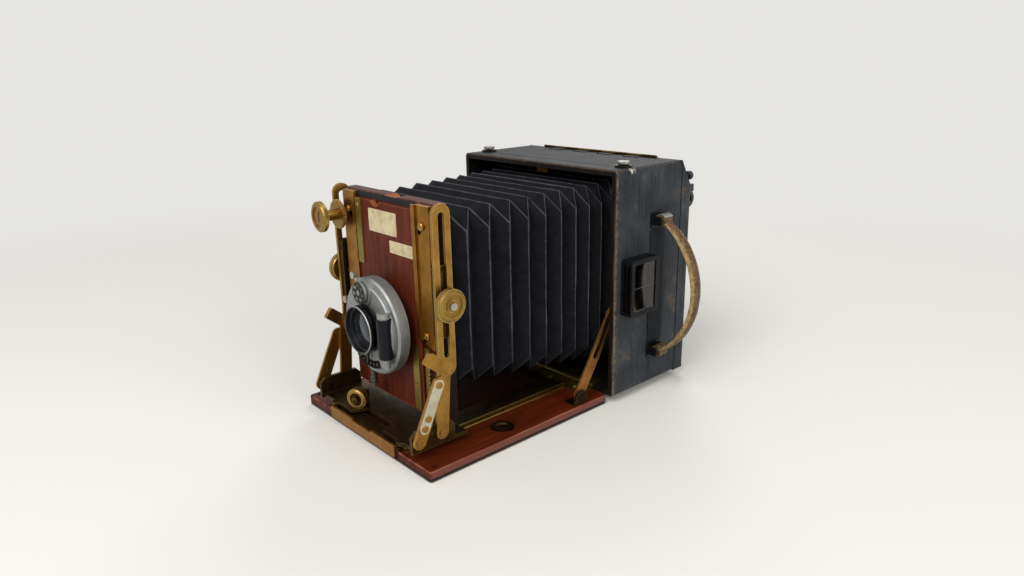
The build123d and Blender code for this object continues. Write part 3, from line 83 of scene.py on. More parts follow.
ahead = Vector((
    -math.sin(VIEW_YAW) * math.cos(VIEW_PITCH),
    math.cos(VIEW_YAW) * math.cos(VIEW_PITCH),
    -math.sin(VIEW_PITCH),
))
level = Vector((math.cos(VIEW_YAW), math.sin(VIEW_YAW), 0.0))
upright = level.cross(ahead)
right = level * math.cos(VIEW_ROLL) + upright * math.sin(VIEW_ROLL)
up = upright * math.cos(VIEW_ROLL) - level * math.sin(VIEW_ROLL)

eye = bpy.data.cameras.new("view")
eye.lens = VIEW_LENS
eye.sensor_width = SENSOR_W
eye.clip_start = NEAREST
viewer = show("view", eye)
viewer.matrix_world = Matrix.Translation(VIEW_PLACE) @ Matrix((right, up, -ahead)).transposed().to_4x4()
bpy.context.scene.camera = viewer
print("view from", [round(c, 3) for c in VIEW_PLACE], "m")

# %% [markdown]
# Every finish below is a tree of nodes. Trees can be drawn by hand in the shader editor; code keeps their
# colours and sizes where they can be read. One function turns an sRGB hex colour into the linear numbers
# that a shader wants, one fills or links an input, one adds a node, one feeds a finish's shader and one
# starts a finish. A pattern's scale always comes from a real size in millimetres.

# %% Colour and node helpers
def linear(code):
    """Linear colour with alpha from an sRGB hex value."""
    values = [int(code[i:i + 2], 16) / 255 for i in (1, 3, 5)]
    return [v / 12.92 if v <= 0.04045 else ((v + 0.055) / 1.055) ** 2.4 for v in values] + [1.0]


def put(mat, node, key, value):
    """Fills or links an input; _ stands for a blank in its name, and a hex value is a colour."""
    socket = node.inputs[key.replace("_", " ") if isinstance(key, str) else key]
    if isinstance(value, bpy.types.NodeSocket):
        mat.node_tree.links.new(value, socket)
    else:
        socket.default_value = linear(value) if isinstance(value, str) else value


def add(mat, kind, *values, out=0, **named):
    """Adds a node: inputs in order, then inputs (capital) and settings (small) by name; gives an output."""
    node = mat.node_tree.nodes.new("ShaderNode" + kind)
    for name, value in named.items():
        if name.islower():
            setattr(node, name, value)
        else:
            put(mat, node, name, value)
    for key, value in enumerate(values):
        put(mat, node, key, value)
    return node.outputs[out]


def feed(mat, **inputs):
    """Fills or links inputs of a finish's shader."""
    for name, value in inputs.items():
        put(mat, mat.node_tree.nodes["Principled BSDF"], name, value)


def begin(name, colour, rough, metal=0.0):
    """A new finish and the coordinates of the solid that wears it."""
    mat = bpy.data.materials.new(name)
    mat.use_nodes = True
    feed(mat, Base_Color=colour, Roughness=rough, Metallic=metal)
    return mat, add(mat, "TexCoord", out="Object")


def per(size):
    """Texture scale for a pattern whose parts are that many millimetres apart."""
    return 1 / (size * MM)


print("white is", linear("#ffffff"))

# %% [markdown]
# A product picture needs a pale floor without a horizon. Studios bend a sheet of paper up behind the
# object. Here the paper is flat: it takes the shadow near the object and fades into the pale world
# further out, so no fold has to be modelled. Only rays that look at the floor see the fade; light still
# bounces off plain paper.

# %% The floor
FLOOR_R = 40.0
FLOOR_SIDES = 96
FLOOR_DROP = 0.2 * MM
FADE = (0.30, 1.1)
PALE = "#e3e1dc"
BACKDROP = "#f1f0ed"
SEEN = 0.90


def mesh_of(name, bm):
    """Mesh of a bmesh, which is freed."""
    mesh = bpy.data.meshes.new(name)
    bm.to_mesh(mesh)
    bm.free()
    return mesh


def looked_at(owner):
    """Socket that is 1 for rays from the camera, from gloss and through glass."""
    rays = {socket.name: socket for socket in add(owner, "LightPath", out=slice(None))}
    seen = add(owner, "Math", rays["Is Camera Ray"], rays["Is Glossy Ray"], operation="MAXIMUM")
    return add(owner, "Math", seen, rays["Is Transmission Ray"], operation="MAXIMUM")


ground = bmesh.new()
bmesh.ops.create_circle(ground, cap_ends=True, segments=FLOOR_SIDES, radius=FLOOR_R)
bmesh.ops.translate(ground, verts=ground.verts, vec=(0, 0, -FLOOR_DROP))
floor = show("floor", mesh_of("floor", ground))
paper, paper_place = begin("matt_backdrop_paper", PALE, 0.95)
feed(paper, Specular_IOR_Level=0.1)
away = add(paper, "VectorMath", paper_place, out="Value", operation="LENGTH")
fade = add(paper, "MapRange", away, *FADE, interpolation_type="SMOOTHSTEP")
veil = add(paper, "Math", fade, looked_at(paper), operation="MULTIPLY")
haze = add(paper, "Emission", Color=BACKDROP, Strength=SEEN)
nodes = paper.node_tree.nodes
sheet = add(paper, "MixShader", veil, nodes["Principled BSDF"].outputs[0], haze)
put(paper, nodes["Material Output"], "Surface", sheet)
floor.data.materials.append(paper)
print("floor fades from", FADE[0], "to", FADE[1], "m")

# %% [markdown]
# A studio lights brass and black leather with large soft lamps, because small ones leave hard sparks. A
# bright world could do it alone, but then nothing would have a light and a dark side. So the world is
# bright where the camera, gloss or glass looks at it and weaker as a light, which keeps colours about as
# they are written, and three large discs give the case and the front their shape.

# %% World and lamps
AMBIENT = 0.42
AIM = Vector((0, 0.04, 0.09))
LAMPS = {
    "key": ((0.35, -1.25, 1.35), 1.3, 26.0),
    "side": ((1.60, 0.15, 0.75), 1.2, 14.0),
    "rear": ((-0.9, 1.3, 1.2), 1.0, 10.0),
}

world = bpy.data.worlds.new("studio")
bpy.context.scene.world = world
world.use_nodes = True
strength = add(world, "MapRange", looked_at(world), To_Min=AMBIENT, To_Max=SEEN)
for key, value in (("Color", BACKDROP), ("Strength", strength)):
    put(world, world.node_tree.nodes["Background"], key, value)
for name, (spot, size, watts) in LAMPS.items():
    glow = bpy.data.lights.new(name, "AREA")
    glow.shape = "DISK"
    glow.size = size
    glow.energy = watts
    lamp = show(name, glow)
    lamp.location = spot
    lamp.rotation_euler = (AIM - Vector(spot)).to_track_quat("-Z", "Y").to_euler()
bpy.context.scene.view_settings.view_transform = "Standard"
print("lamps:", list(LAMPS))

# %% [markdown]
# Things wear first along their edges. Edges could be painted by hand, but two helpers find them by
# themselves. The first takes a box: of a point's three distances to the faces, the middle one in size
# is the distance to an edge. The second works on any solid: a bevel node rounds the normals near sharp
# edges, and where they part from the true ones there is an edge.

# %% Where edges are
def xyz(mat):
    """X, Y and Z of the place on the solid that wears a finish."""
    return add(mat, "SeparateXYZ", add(mat, "TexCoord", out="Object"), out=slice(3))


def edge_wear(mat, place, box, width):
    """Socket that is 1 on the edges of a box and 0 beyond a width, all in millimetres."""
    low, high = (Vector(corner) * MM for corner in box)
    off = add(mat, "VectorMath", place, (low + high) / 2, operation="SUBTRACT")
    off = add(mat, "VectorMath", off, operation="ABSOLUTE")
    off = add(mat, "VectorMath", (high - low) / 2, off, operation="SUBTRACT")
    x, y, z = add(mat, "SeparateXYZ", off, out=slice(3))
    lesser = add(mat, "Math", x, y, operation="MINIMUM")
    greater = add(mat, "Math", x, y, operation="MAXIMUM")
    middle = add(mat, "Math", greater, z, operation="MINIMUM")
    edge = add(mat, "Math", lesser, middle, operation="MAXIMUM")
    return add(mat, "MapRange", edge, width * MM, 0.0)


def sharp_edge(mat, radius):
    """Socket that is 1 on a solid's sharp edges and 0 on its flats, over a radius in millimetres."""
    rounded = add(mat, "Bevel", Radius=radius * MM, samples=6)
    true = add(mat, "NewGeometry", out="Normal")
    match = add(mat, "VectorMath", rounded, true, out="Value", operation="DOT_PRODUCT")
    return add(mat, "MapRange", match, 0.99, 0.86)


print("edge helpers ready")

# %% [markdown]
# An old finish is a pile of coats: dye, then dirt, then bare hide where both are rubbed off. An image
# could hold it all, but it would blur close up. Here each coat covers what is below it where a number,
# such as a noise, a distance or a height, climbs from a start to a stop. A start above its stop makes a
# coat that goes as the number grows.

# %% Coats over coats
def coat(mat, over, value, start=0.0, stop=1.0, share=1.0):
    """Lays a coat over a finish's colour where a value goes from start to stop."""
    colour = mat.node_tree.nodes["Principled BSDF"].inputs["Base Color"]
    under = colour.links[0].from_socket if colour.is_linked else list(colour.default_value)
    cover = add(mat, "MapRange", value, start, stop, To_Max=share)
    mixed = add(mat, "Mix", cover, out=2, data_type="RGBA")
    for key, tint in ((6, under), (7, over)):
        put(mat, mixed.node, key, tint)
    feed(mat, Base_Color=mixed)


print("coats ready")

# %% [markdown]
# The case wears dyed goatskin glued over wood: blue-black with a pebbled grain of about a millimetre,
# dull where hands held it, scratched upright, and brown where the dye has rubbed off. The grain could be
# modelled, but a bump is enough at this size: Voronoi cells make the pebbles, stretched noise makes the
# scratches, and the edge helper uncovers the hide.

# %% Black grained leather
HIDE = "#66523f"
PATCH = 24.0
STREAK = 2.2
RUB = 4.0
PEBBLE = 1.2
PORE = 0.4


def grained_leather(name, dye, faded, box, wear):
    """Dyed leather with scratches, whose edges on a box show the bare hide."""
    mat, place = begin(name, dye, 0.55)
    patch = add(mat, "TexNoise", place, Scale=per(PATCH), Detail=6.0, Roughness=0.62)
    drawn = add(mat, "Mapping", place, Scale=(1.0, 1.0, 0.05))
    streak = add(mat, "TexNoise", drawn, Scale=per(STREAK), Detail=5.0, Roughness=0.65)
    rub = add(mat, "TexNoise", place, Scale=per(RUB), Detail=8.0, Roughness=0.7)
    speck = add(mat, "Math", rub, patch, operation="MULTIPLY")
    worn = add(mat, "Math", edge_wear(mat, place, box, wear), rub, operation="MULTIPLY")
    coat(mat, faded, patch, 0.36, 0.66)
    coat(mat, "#0e1012", streak, 0.56, 0.68, share=0.7)
    coat(mat, "#41474d", streak, 0.42, 0.32, share=0.4)
    coat(mat, "#55483a", speck, 0.325, 0.39)
    coat(mat, HIDE, worn, 0.28, 0.46)
    gloss = add(mat, "MapRange", patch, To_Min=0.40, To_Max=0.66)
    cells = add(mat, "TexVoronoi", place, Scale=per(PEBBLE))
    fine = add(mat, "TexNoise", place, Scale=per(PORE), Detail=4.0)
    height = add(mat, "Math", cells, fine, operation="ADD")
    height = add(mat, "Math", height, streak, operation="ADD")
    bump = add(mat, "Bump", Height=height, Strength=0.4, Distance=0.25 * MM)
    feed(mat, Roughness=gloss, Normal=bump, Specular_IOR_Level=0.06)
    return mat


CASE_BOX = ((-81.0, 80.0, 5.3), (81.0, 164.0, 170.3))
FLAP_BOX = ((-61.5, 95.5, 100.0), (61.5, 160.0, 170.3))
DOOR_BOX = ((-60.0, 163.0, 40.3), (60.0, 167.3, 135.3))
case_skin = grained_leather("dyed_goatskin_case", "#292b2e", "#3c4044", CASE_BOX, 2.6)
flap_skin = grained_leather("dyed_goatskin_flap", "#111316", "#1a1d21", FLAP_BOX, 1.4)
door_skin = grained_leather("dyed_goatskin_door", "#1c1f22", "#2c3136", DOOR_BOX, 1.4)
print("leathers:", case_skin.name, flap_skin.name, door_skin.name)

# %% [markdown]
# Some places on the case have their own history. The rim of its open front is rubbed, a roof corner is
# chipped to a pale ground, the seam before the back frame is a dark line, and the strip behind the handle
# stayed black. The roof is darkened as painted shade, against the light it gets from above. Masks could
# be painted; a distance or a height does without one. The flap and the door are one solid with their
# brass hinge leaf, so a height tells brass from leather.

# %% Wear on the case
RIM_Y = (90.0 * MM, 80.0 * MM)
CHIPPED = Vector((81.0, 97.0, 169.5)) * MM
CHIP_R = 10.0 * MM
RIM_RUB = 3.2
SEAM_Y = 153.0 * MM
SEAM_HALF = (0.9 * MM, 0.35 * MM)
BACKING_X = (81.05 * MM, 81.2 * MM)
ROOF_SHADE_Z = (169.6 * MM, 170.2 * MM)
LEAF = "#6b5128"
LEAF_EDGE = 0.05 * MM

place = add(case_skin, "TexCoord", out="Object")
x, y, z = xyz(case_skin)
rub = add(case_skin, "TexNoise", place, Scale=per(RIM_RUB), Detail=8.0, Roughness=0.72)
rim = add(case_skin, "MapRange", y, *RIM_Y)
coat(case_skin, "#6d6053", add(case_skin, "Math", rim, rub, operation="MULTIPLY"), 0.34, 0.52)
chip = add(case_skin, "VectorMath", place, CHIPPED, out="Value", operation="DISTANCE")
chip = add(case_skin, "MapRange", chip, CHIP_R, 0.0)
coat(case_skin, "#b5b2a6", add(case_skin, "Math", chip, rub, operation="MULTIPLY"), 0.36, 0.42)
to_seam = add(case_skin, "Math", y, SEAM_Y, operation="SUBTRACT")
coat(case_skin, "#0c0d0f", add(case_skin, "Math", to_seam, operation="ABSOLUTE"), *SEAM_HALF)
coat(case_skin, "#212427", x, *BACKING_X)
# Painted shade: the roof is darkened against the light it gets from above.
coat(case_skin, "#101215", z, *ROOF_SHADE_Z, share=0.75)
for skin, top in ((flap_skin, 171.0 * MM), (door_skin, 135.4 * MM)):
    leaf = add(skin, "MapRange", xyz(skin)[2], top, top + LEAF_EDGE)
    coat(skin, LEAF, leaf)
    feed(skin, Metallic=leaf)
print("case rubbed from Y", RIM_Y[1], "to", RIM_Y[0], "m")

# %% [markdown]
# The bed, the front frame and the lens board are French-polished mahogany: long dark pores in a red-brown
# ground under a thin shine. A photographed plank would repeat. Noise stretched along the grain makes the
# bands, a finer one the pores, and a thin clear coat the polish, with paler edges where it is gone. The
# case's own wood is made the same way, blackened and without a coat.

# %% Polished mahogany
GRAIN = 4.0
VESSEL = 0.7
CLOUD = 35.0


def mahogany(name, light, deep, edge, stretch, box, wear, polish=0.05):
    """Polished wood; stretch is the grain's length along X, Y and Z in bands of one."""
    mat, place = begin(name, light, 0.4)
    along = add(mat, "Mapping", place, Scale=[1 / s for s in stretch])
    grain = add(mat, "TexNoise", along, Scale=per(GRAIN), Detail=5.0, Distortion=0.6)
    pore = add(mat, "TexNoise", along, Scale=per(VESSEL), Detail=2.0)
    cloud = add(mat, "TexNoise", place, Scale=per(CLOUD), Detail=3.0)
    worn = add(mat, "Math", edge_wear(mat, place, box, wear), grain, operation="MULTIPLY")
    coat(mat, deep, grain, 0.68, 0.32)
    coat(mat, "#260b04", pore, 0.56, 0.70, share=0.5)
    coat(mat, deep, cloud, 0.52, 0.75, share=0.6)
    coat(mat, edge, worn, 0.22, 0.45, share=0.85)
    gloss = add(mat, "MapRange", cloud, To_Min=0.34, To_Max=0.60)
    bump = add(mat, "Bump", Height=pore, Strength=0.12, Distance=0.1 * MM)
    feed(mat, Roughness=gloss, Normal=bump, Specular_IOR_Level=0.08)
    feed(mat, Coat_Weight=polish, Coat_Roughness=0.28)
    return mat


BED_BOX = ((-76.5, -79.0, 0.0), (76.5, 79.0, 7.0))
BOARD_BOX = ((-35.0, -52.1, 22.0), (35.0, -48.7, 157.0))
FRAME_BOX = ((-52.5, -48.6, 20.0), (52.5, -38.6, 161.5))
LENGTHWAYS = (1, 12, 1)
UPRIGHT = (1, 1, 12)
bed_wood = mahogany("polished_mahogany_bed", "#5c220e", "#3f1507", "#8f5a4a", LENGTHWAYS, BED_BOX, 1.6)
board_wood = mahogany("polished_mahogany_board", "#622815", "#44190c", "#7d4430", UPRIGHT, BOARD_BOX, 1.0)
frame_wood = mahogany("polished_mahogany_frame", "#50200f", "#351308", "#7c4a35", UPRIGHT, FRAME_BOX, 1.2)
case_wood = mahogany("blackened_case_wood", "#1d1a19", "#100e0d", "#5d4732", UPRIGHT, CASE_BOX, 2.5, 0.0)
print("woods:", bed_wood.name, board_wood.name, frame_wood.name, case_wood.name)

# %% [markdown]
# Some faces have another history. The bed's long edges have gone pale and dusty above a lap of the black
# leather underneath. The strip between the rails lies under the bellows and is black, partly as painted
# shade and partly as old grease, and dull. The frame's sides are darkened to near black. Each could be a
# solid of its own, but a coat that starts at a distance from the middle, or at a height, needs no new
# shape.

# %% Pale, greasy and painted faces
BED_SIDE = (76.2 * MM, 76.45 * MM)
UNDER_BELLOWS_X = (42.5 * MM, 41.0 * MM)
LEATHER_LAP = (2.6 * MM, 2.4 * MM)
FRAME_SIDE = (52.2 * MM, 52.45 * MM)

bed_x, _, bed_z = xyz(bed_wood)
bed_aside = add(bed_wood, "Math", bed_x, operation="ABSOLUTE")
coat(bed_wood, "#74473b", bed_aside, *BED_SIDE, share=0.75)
# Painted shade under the bellows, with grease: the strip between the rails goes near black.
coat(bed_wood, "#170c08", bed_aside, *UNDER_BELLOWS_X, share=0.85)
coat(bed_wood, "#17181b", bed_z, *LEATHER_LAP)
greasy = add(bed_wood, "MapRange", bed_aside, *UNDER_BELLOWS_X, To_Max=0.9)
polish = bed_wood.node_tree.nodes["Principled BSDF"].inputs["Roughness"].links[0].from_socket
feed(bed_wood, Roughness=add(bed_wood, "Math", greasy, polish, operation="MAXIMUM"))
frame_aside = add(frame_wood, "Math", xyz(frame_wood)[0], operation="ABSOLUTE")
# Darkens the frame's side faces to near black.
coat(frame_wood, "#120a07", frame_aside, *FRAME_SIDE, share=0.9)
print("faces coloured on", bed_wood.name, "and", frame_wood.name)

# %% [markdown]
# Two finger scoops, one in the top of the frame and one in the board, are pale: partly raw wood where
# the polish is gone, partly a painted highlight in their hollows. Their faces could be picked by hand. A
# scoop is part of a cylinder, though, so the distance to the cylinder's axis finds its surface, however
# the mesh is cut.

# %% Pale finger scoops
BARE_WOOD_AND_HIGHLIGHT = "#8f5233"
PALE_WIDTH = 0.9
SCOOPS = {frame_wood: (4.5, 167.9, 9.0), board_wood: (-9.0, 160.0, 6.0)}


def from_axis(mat, x, z):
    """Socket with the distance to a line along Y that passes a place in X and Z."""
    place = add(mat, "TexCoord", out="Object")
    off = add(mat, "VectorMath", place, (x * MM, 0, z * MM), operation="SUBTRACT")
    flat = add(mat, "VectorMath", off, (1, 0, 1), operation="MULTIPLY")
    return add(mat, "VectorMath", flat, out="Value", operation="LENGTH")


for mat, (x, z, radius) in SCOOPS.items():
    # Raw wood with a painted highlight inside each scoop.
    coat(mat, BARE_WOOD_AND_HIGHLIGHT, from_axis(mat, x, z), (radius + PALE_WIDTH) * MM, radius * MM)
print("scoops rubbed:", len(SCOOPS))

# %% [markdown]
# Lacquered brass ages unevenly: the lacquer yields first at the edges, which fingers keep bright, and the
# flats go olive, then brown. Each fitting could have a tree of its own, but they differ only in colour and
# gloss, so one function makes them all from four colours: clean, aged, stained and rubbed. Nickel, copper
# and steel follow the same build. Brush marks are drawn coarser than real ones, so that they show.

# %% Aged metals
SPOT = 2.6
BRUSH = 0.5
EDGE_R = 0.6


def aged_metal(name, clean, aged, stain, rub, rough, blotch=9.0, stained=0.62):
    """Rolled metal with aged blotches, small stains, rubbed edges and fine brush marks."""
    mat, place = begin(name, clean, rough, 1.0)
    spread = add(mat, "TexNoise", place, Scale=per(blotch), Detail=7.0, Roughness=0.65)
    spot = add(mat, "TexNoise", place, Scale=per(SPOT), Detail=8.0, Roughness=0.7)
    brush = add(mat, "TexNoise", place, Scale=per(BRUSH), Detail=3.0)
    coat(mat, aged, spread, 0.36, 0.66)
    coat(mat, stain, spot, stained, stained + 0.09)
    coat(mat, rub, sharp_edge(mat, EDGE_R), share=0.8)
    gloss = add(mat, "Math", spread, brush, operation="MULTIPLY")
    gloss = add(mat, "MapRange", gloss, From_Max=0.5, To_Min=rough - 0.08, To_Max=rough + 0.14)
    bump = add(mat, "Bump", Height=brush, Strength=0.08, Distance=0.05 * MM)
    feed(mat, Roughness=gloss, Normal=bump)
    return mat


brass = aged_metal("lacquered_brass", "#a37d3d", "#86622a", "#4e3a1c", "#cfae6c", 0.38)
gold_brass = aged_metal("bright_lacquered_brass", "#997a3a", "#7d6028", "#513e1d", "#ccb57f", 0.36)
strip_brass = aged_metal("orange_lacquered_brass", "#9a6d27", "#7f571b", "#4a3414", "#b98c4a", 0.36)
leg_brass = aged_metal("golden_brass", "#a57c3c", "#8a632b", "#523a1b", "#c9a060", 0.38)
olive_brass = aged_metal("olive_brass", "#93803e", "#75632d", "#473a1c", "#b8a663", 0.42)
# Darker than the other brasses: partly tarnish, partly painted shade on the track and carriage under the
# bellows.
dull_brass = aged_metal("darkened_brass", "#543f1f", "#352612", "#1a1109", "#b08f52", 0.44, stained=0.55)
nickel = aged_metal("satin_nickel_plate", "#b9b4a4", "#99948a", "#5e594e", "#dcd8cc", 0.36, stained=0.66)
cream_nickel = aged_metal(
    "yellowed_nickel_plate", "#cfc9b4", "#b1aa96", "#6e664f", "#ded9c6", 0.45, stained=0.64)
guide_highlight_brass = aged_metal("painted_highlight_brass", "#c99c50", "#a87c38", "#6b4e24", "#e6cb8c", 0.35)
strut_copper = aged_metal("coppery_gilding_metal", "#a3703c", "#87592c", "#4f331a", "#c9965c", 0.40)
guide_brass = aged_metal("edge_worn_brass", "#6f5722", "#4f3c14", "#2b200c", "#d4b16a", 0.38)
bronze = aged_metal("blackened_bronze", "#3a2813", "#22160a", "#120b05", "#7d5f34", 0.45)
dark_steel = aged_metal("dulled_steel", "#4b4c51", "#333438", "#1d1d20", "#909194", 0.42)
button_nickel = aged_metal(
    "button_nickel_plate", "#8f8d86", "#75736c", "#4b4841", "#aaa79d", 0.40, stained=0.66)
print("metals made:", brass.name, gold_brass.name, strip_brass.name, leg_brass.name, nickel.name)

# %% [markdown]
# The retaining strips slide on slanting slots, which look dark. Dark plugs would fill them up. A slot's
# wall lies half its width from its middle line, so the distance to that line finds it: a dark band there
# is painted shade round the slot, and the slot stays open. The strips are mirror images, so one side
# stands for both, and a remainder brings the upper slot down on the lower one.

# %% Painted shade round the slanting slots
SLOT_TOP = Vector((42.5, 0.0, 78.0)) * MM
SLOT_STEP = 70.0 * MM
SLOT_SLANT = math.radians(53.0)
SLOT_WAY = Vector((-math.cos(SLOT_SLANT), 0.0, -math.sin(SLOT_SLANT)))
SLOT_L = 5.0 * MM
SLOT_HALF = 1.5 * MM
SLOT_SHADE = 0.12 * MM

strip_x, _, strip_z = xyz(strip_brass)
one_side = add(strip_brass, "Math", strip_x, operation="ABSOLUTE")
from_low = add(strip_brass, "Math", strip_z, SLOT_TOP.z - SLOT_STEP / 2, operation="SUBTRACT")
one_slot = add(strip_brass, "Math", from_low, SLOT_STEP, operation="MODULO")
spot = add(strip_brass, "CombineXYZ", X=one_side, Z=one_slot)
off = add(strip_brass, "VectorMath", spot, (SLOT_TOP.x, 0.0, SLOT_STEP / 2), operation="SUBTRACT")
along = add(strip_brass, "VectorMath", off, SLOT_WAY, out="Value", operation="DOT_PRODUCT")
along = add(strip_brass, "Clamp", along, 0.0, SLOT_L)
line = add(strip_brass, "VectorMath", SLOT_WAY, operation="SCALE", Scale=along)
far = add(strip_brass, "VectorMath", off, line, out="Value", operation="DISTANCE")
# Painted shade: a dark band round each slot's wall.
coat(strip_brass, "#0b0805", far, SLOT_HALF + SLOT_SHADE, SLOT_HALF + SLOT_SHADE / 4)
print("slots", SLOT_L / MM, "mm long, dirty to", SLOT_SHADE / MM, "mm round them")

# %% [markdown]
# The shutter is turned on a lathe, so its marks are circles, and light streaks across them. Rings could be
# cut into the mesh, but two sine waves do as well: one of the distance to the lens axis, one along it,
# and a bump node takes their sum. They are drawn coarser than real ones, so that they show. The nipple
# under the drum is coloured darker.

# %% Turned nickel
LENS_Z = 77.4
NIPPLE_Z = (45.0 * MM, 43.5 * MM)


def turned(mat, ring, ridge, strength):
    """Bump of turned rings round the lens axis and ridges along it, spaced in millimetres."""
    rings = add(mat, "Math", from_axis(mat, 0, LENS_Z), math.tau * per(ring), operation="MULTIPLY")
    rings = add(mat, "Math", rings, operation="SINE")
    ridges = add(mat, "Math", xyz(mat)[1], math.tau * per(ridge), operation="MULTIPLY")
    ridges = add(mat, "Math", ridges, operation="SINE")
    height = add(mat, "Math", rings, ridges, operation="ADD")
    feed(mat, Normal=add(mat, "Bump", Height=height, Strength=strength, Distance=0.15 * MM))


shutter_nickel = aged_metal(
    "turned_satin_nickel", "#9b9d9b", "#7f817f", "#565550", "#bbbcb9", 0.56, blotch=14.0, stained=0.64)
turned(shutter_nickel, 0.9, 1.6, 0.22)
coat(shutter_nickel, "#4a4137", xyz(shutter_nickel)[2], *NIPPLE_Z, share=0.85)
print("turned:", shutter_nickel.name)

# %% [markdown]
# Black enamel is stoved on metal: smooth and deep black until it chips. Chips could be modelled as dents,
# but the coat is thinner than a hair, so colour and shine are enough. Noise places the chips, edges lose
# their black first, and both bare the metal. The lens mount wears it over turned rings.

# %% Black enamel
CHIP = 3.0
CHIP_EDGE = 0.45


def enamel(name, colour, worn, rough, shine=0.18):
    """Stoved black enamel with small chips and rubbed edges that show the metal's colour."""
    mat, place = begin(name, colour, rough)
    chip = add(mat, "TexNoise", place, Scale=per(CHIP), Detail=9.0, Roughness=0.7)
    chips = add(mat, "MapRange", chip, 0.67, 0.73)
    edge = add(mat, "Math", sharp_edge(mat, CHIP_EDGE), chip, operation="MULTIPLY")
    edge = add(mat, "MapRange", edge, 0.35, 0.55)
    bare = add(mat, "Math", chips, edge, operation="MAXIMUM")
    coat(mat, worn, bare)
    gloss = add(mat, "MapRange", chip, To_Min=rough - 0.08, To_Max=rough + 0.12)
    feed(mat, Metallic=bare, Roughness=gloss, Specular_IOR_Level=shine)
    return mat


black_enamel = enamel("stoved_black_enamel", "#0b0d13", "#5d4a2c", 0.34)
scale_enamel = enamel("matt_black_scale_enamel", "#07080b", "#5d4a2c", 0.6, 0.04)
mount_enamel = enamel("turned_black_lens_mount", "#090a0e", "#a9a293", 0.34)
turned(mount_enamel, 1.1, 1.1, 0.35)
print("enamels:", black_enamel.name, scale_enamel.name, mount_enamel.name)

# %% [markdown]
# Three glasses and a plastic: dark-looking crown glass in the lens, the finder's smoky pane, the focusing
# screen, which is ground to catch the picture, and cream celluloid for the bare plaques. A glossy dark
# plate could pass for glass, but real transmission lets the cell behind the lens show. The glasses share
# an index and differ in tint and haze; noise yellows the celluloid.

# %% Glass and celluloid
CROWN_INDEX = 1.52
HAZE = 12.0
STAIN = 6.0


def glass(name, tint, rough, haze):
    """Clear glass with a tint, a polish and patches of haze."""
    mat, place = begin(name, tint, rough)
    cloud = add(mat, "TexNoise", place, Scale=per(HAZE), Detail=4.0)
    blur = add(mat, "MapRange", cloud, 0.4, 0.8, rough, rough + haze)
    feed(mat, Roughness=blur, Transmission_Weight=1.0, IOR=CROWN_INDEX)
    return mat


lens_glass = glass("polished_crown_glass", "#8f9fb8", 0.0, 0.01)
pane_glass = glass("finder_pane_glass", "#564a44", 0.04, 0.06)
screen_glass = glass("ground_focusing_glass", "#dfe4e2", 0.6, 0.06)
celluloid, cell_place = begin("cream_celluloid", "#c6b892", 0.5)
age = add(celluloid, "TexNoise", cell_place, Scale=per(STAIN), Detail=8.0, Roughness=0.7)
coat(celluloid, "#98825a", age, 0.45, 0.75)
print("glasses:", lens_glass.name, pane_glass.name, screen_glass.name)

# %% [markdown]
# Now each solid takes its finish. Slots could be filled one by one in the editor; a table shows at a glance
# which fittings share a metal. The solids keep their own shapes, and only their material slots change.

# %% Finishes on the solids
WEAR = {
    case_skin: ("case_leather", "back_frame", "bed_leather"),
    flap_skin: ("top_flap",),
    door_skin: ("focusing_door",),
    case_wood: ("body_case", "bellows_frame", "back_insert"),
    bed_wood: ("bed_board",),
    board_wood: ("lens_board",),
    frame_wood: ("front_frame",),
    brass: ("slotted_arms", "strip_screws", "door_hinge_base"),
    gold_brass: ("spool_knob", "thumb_nut_left", "thumb_nut_right", "focus_pinion", "carriage_knob"),
    strip_brass: ("strip_left", "strip_right", "track_front_bar"),
    leg_brass: ("lower_legs", "brace_bars"),
    strut_copper: ("struts", "strut_studs"),
    guide_brass: ("track_guides",),
    bronze: ("tripod_bush", "strut_brackets"),
    olive_brass: ("board_strips", "frame_rack", "pinion_bearings", "bed_hinge_base", "bed_hinge_leaf"),
    dull_brass: ("track_rails", "carriage_plate", "side_plates", "flap_hinge_base"),
    nickel: ("set_lever", "release_lever", "clamp_studs"),
    button_nickel: ("press_button_left", "press_button_right"),
    cream_nickel: ("brace_plates",),
    dark_steel: ("back_catch", "back_catch_base"),
    shutter_nickel: ("shutter_housing", "speed_dial"),
    black_enamel: ("air_cylinder", "finder_body", "iris_leaves", "handle_brackets", "aperture_pointer"),
    pane_glass: ("finder_glass",),
    screen_glass: ("ground_glass",),
    celluloid: ("name_plaques",),
}
for material, names in WEAR.items():
    for name in names:
        for holder in solids[name].material_slots:
            holder.material = material
plain = set(solids) - {name for names in WEAR.values() for name in names}
print("solids left for new pieces:", sorted(plain))

# %% [markdown]
# Every new piece ends the same way: its bmesh is in place, its faces are turned outwards, it becomes an
# object at the origin, gets its finish, and rides on the body that carries it on the real camera.

# %% Finishing a piece
def finish_piece(name, bm, material, body, smooth=35.0, turn_out=True):
    """Makes the object of a bmesh that is already in its place."""
    if turn_out:
        bmesh.ops.recalc_face_normals(bm, faces=bm.faces)
    mesh = mesh_of(name, bm)
    mesh.shade_smooth()
    mesh.set_sharp_from_angle(angle=math.radians(smooth))
    mesh.materials.append(material)
    piece = show(name, mesh)
    if body:
        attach(piece, body)
    return piece


def verts_of(geom):
    """The vertices among the geometry that an operator hands back."""
    return [v for v in geom if isinstance(v, bmesh.types.BMVert)]


print("ready to make pieces")

# %% [markdown]
# The bellows is thin leather glued over card ribs and folded sixteen times. Its sides and its top fold in
# turn: where a side stands out in a ridge, the top is sunk, and the corners between them are creased in
# a zigzag. A wavy tube would miss those corners, so each fold is a ring of eight points that stand on
# that fold's own ridges and valleys.

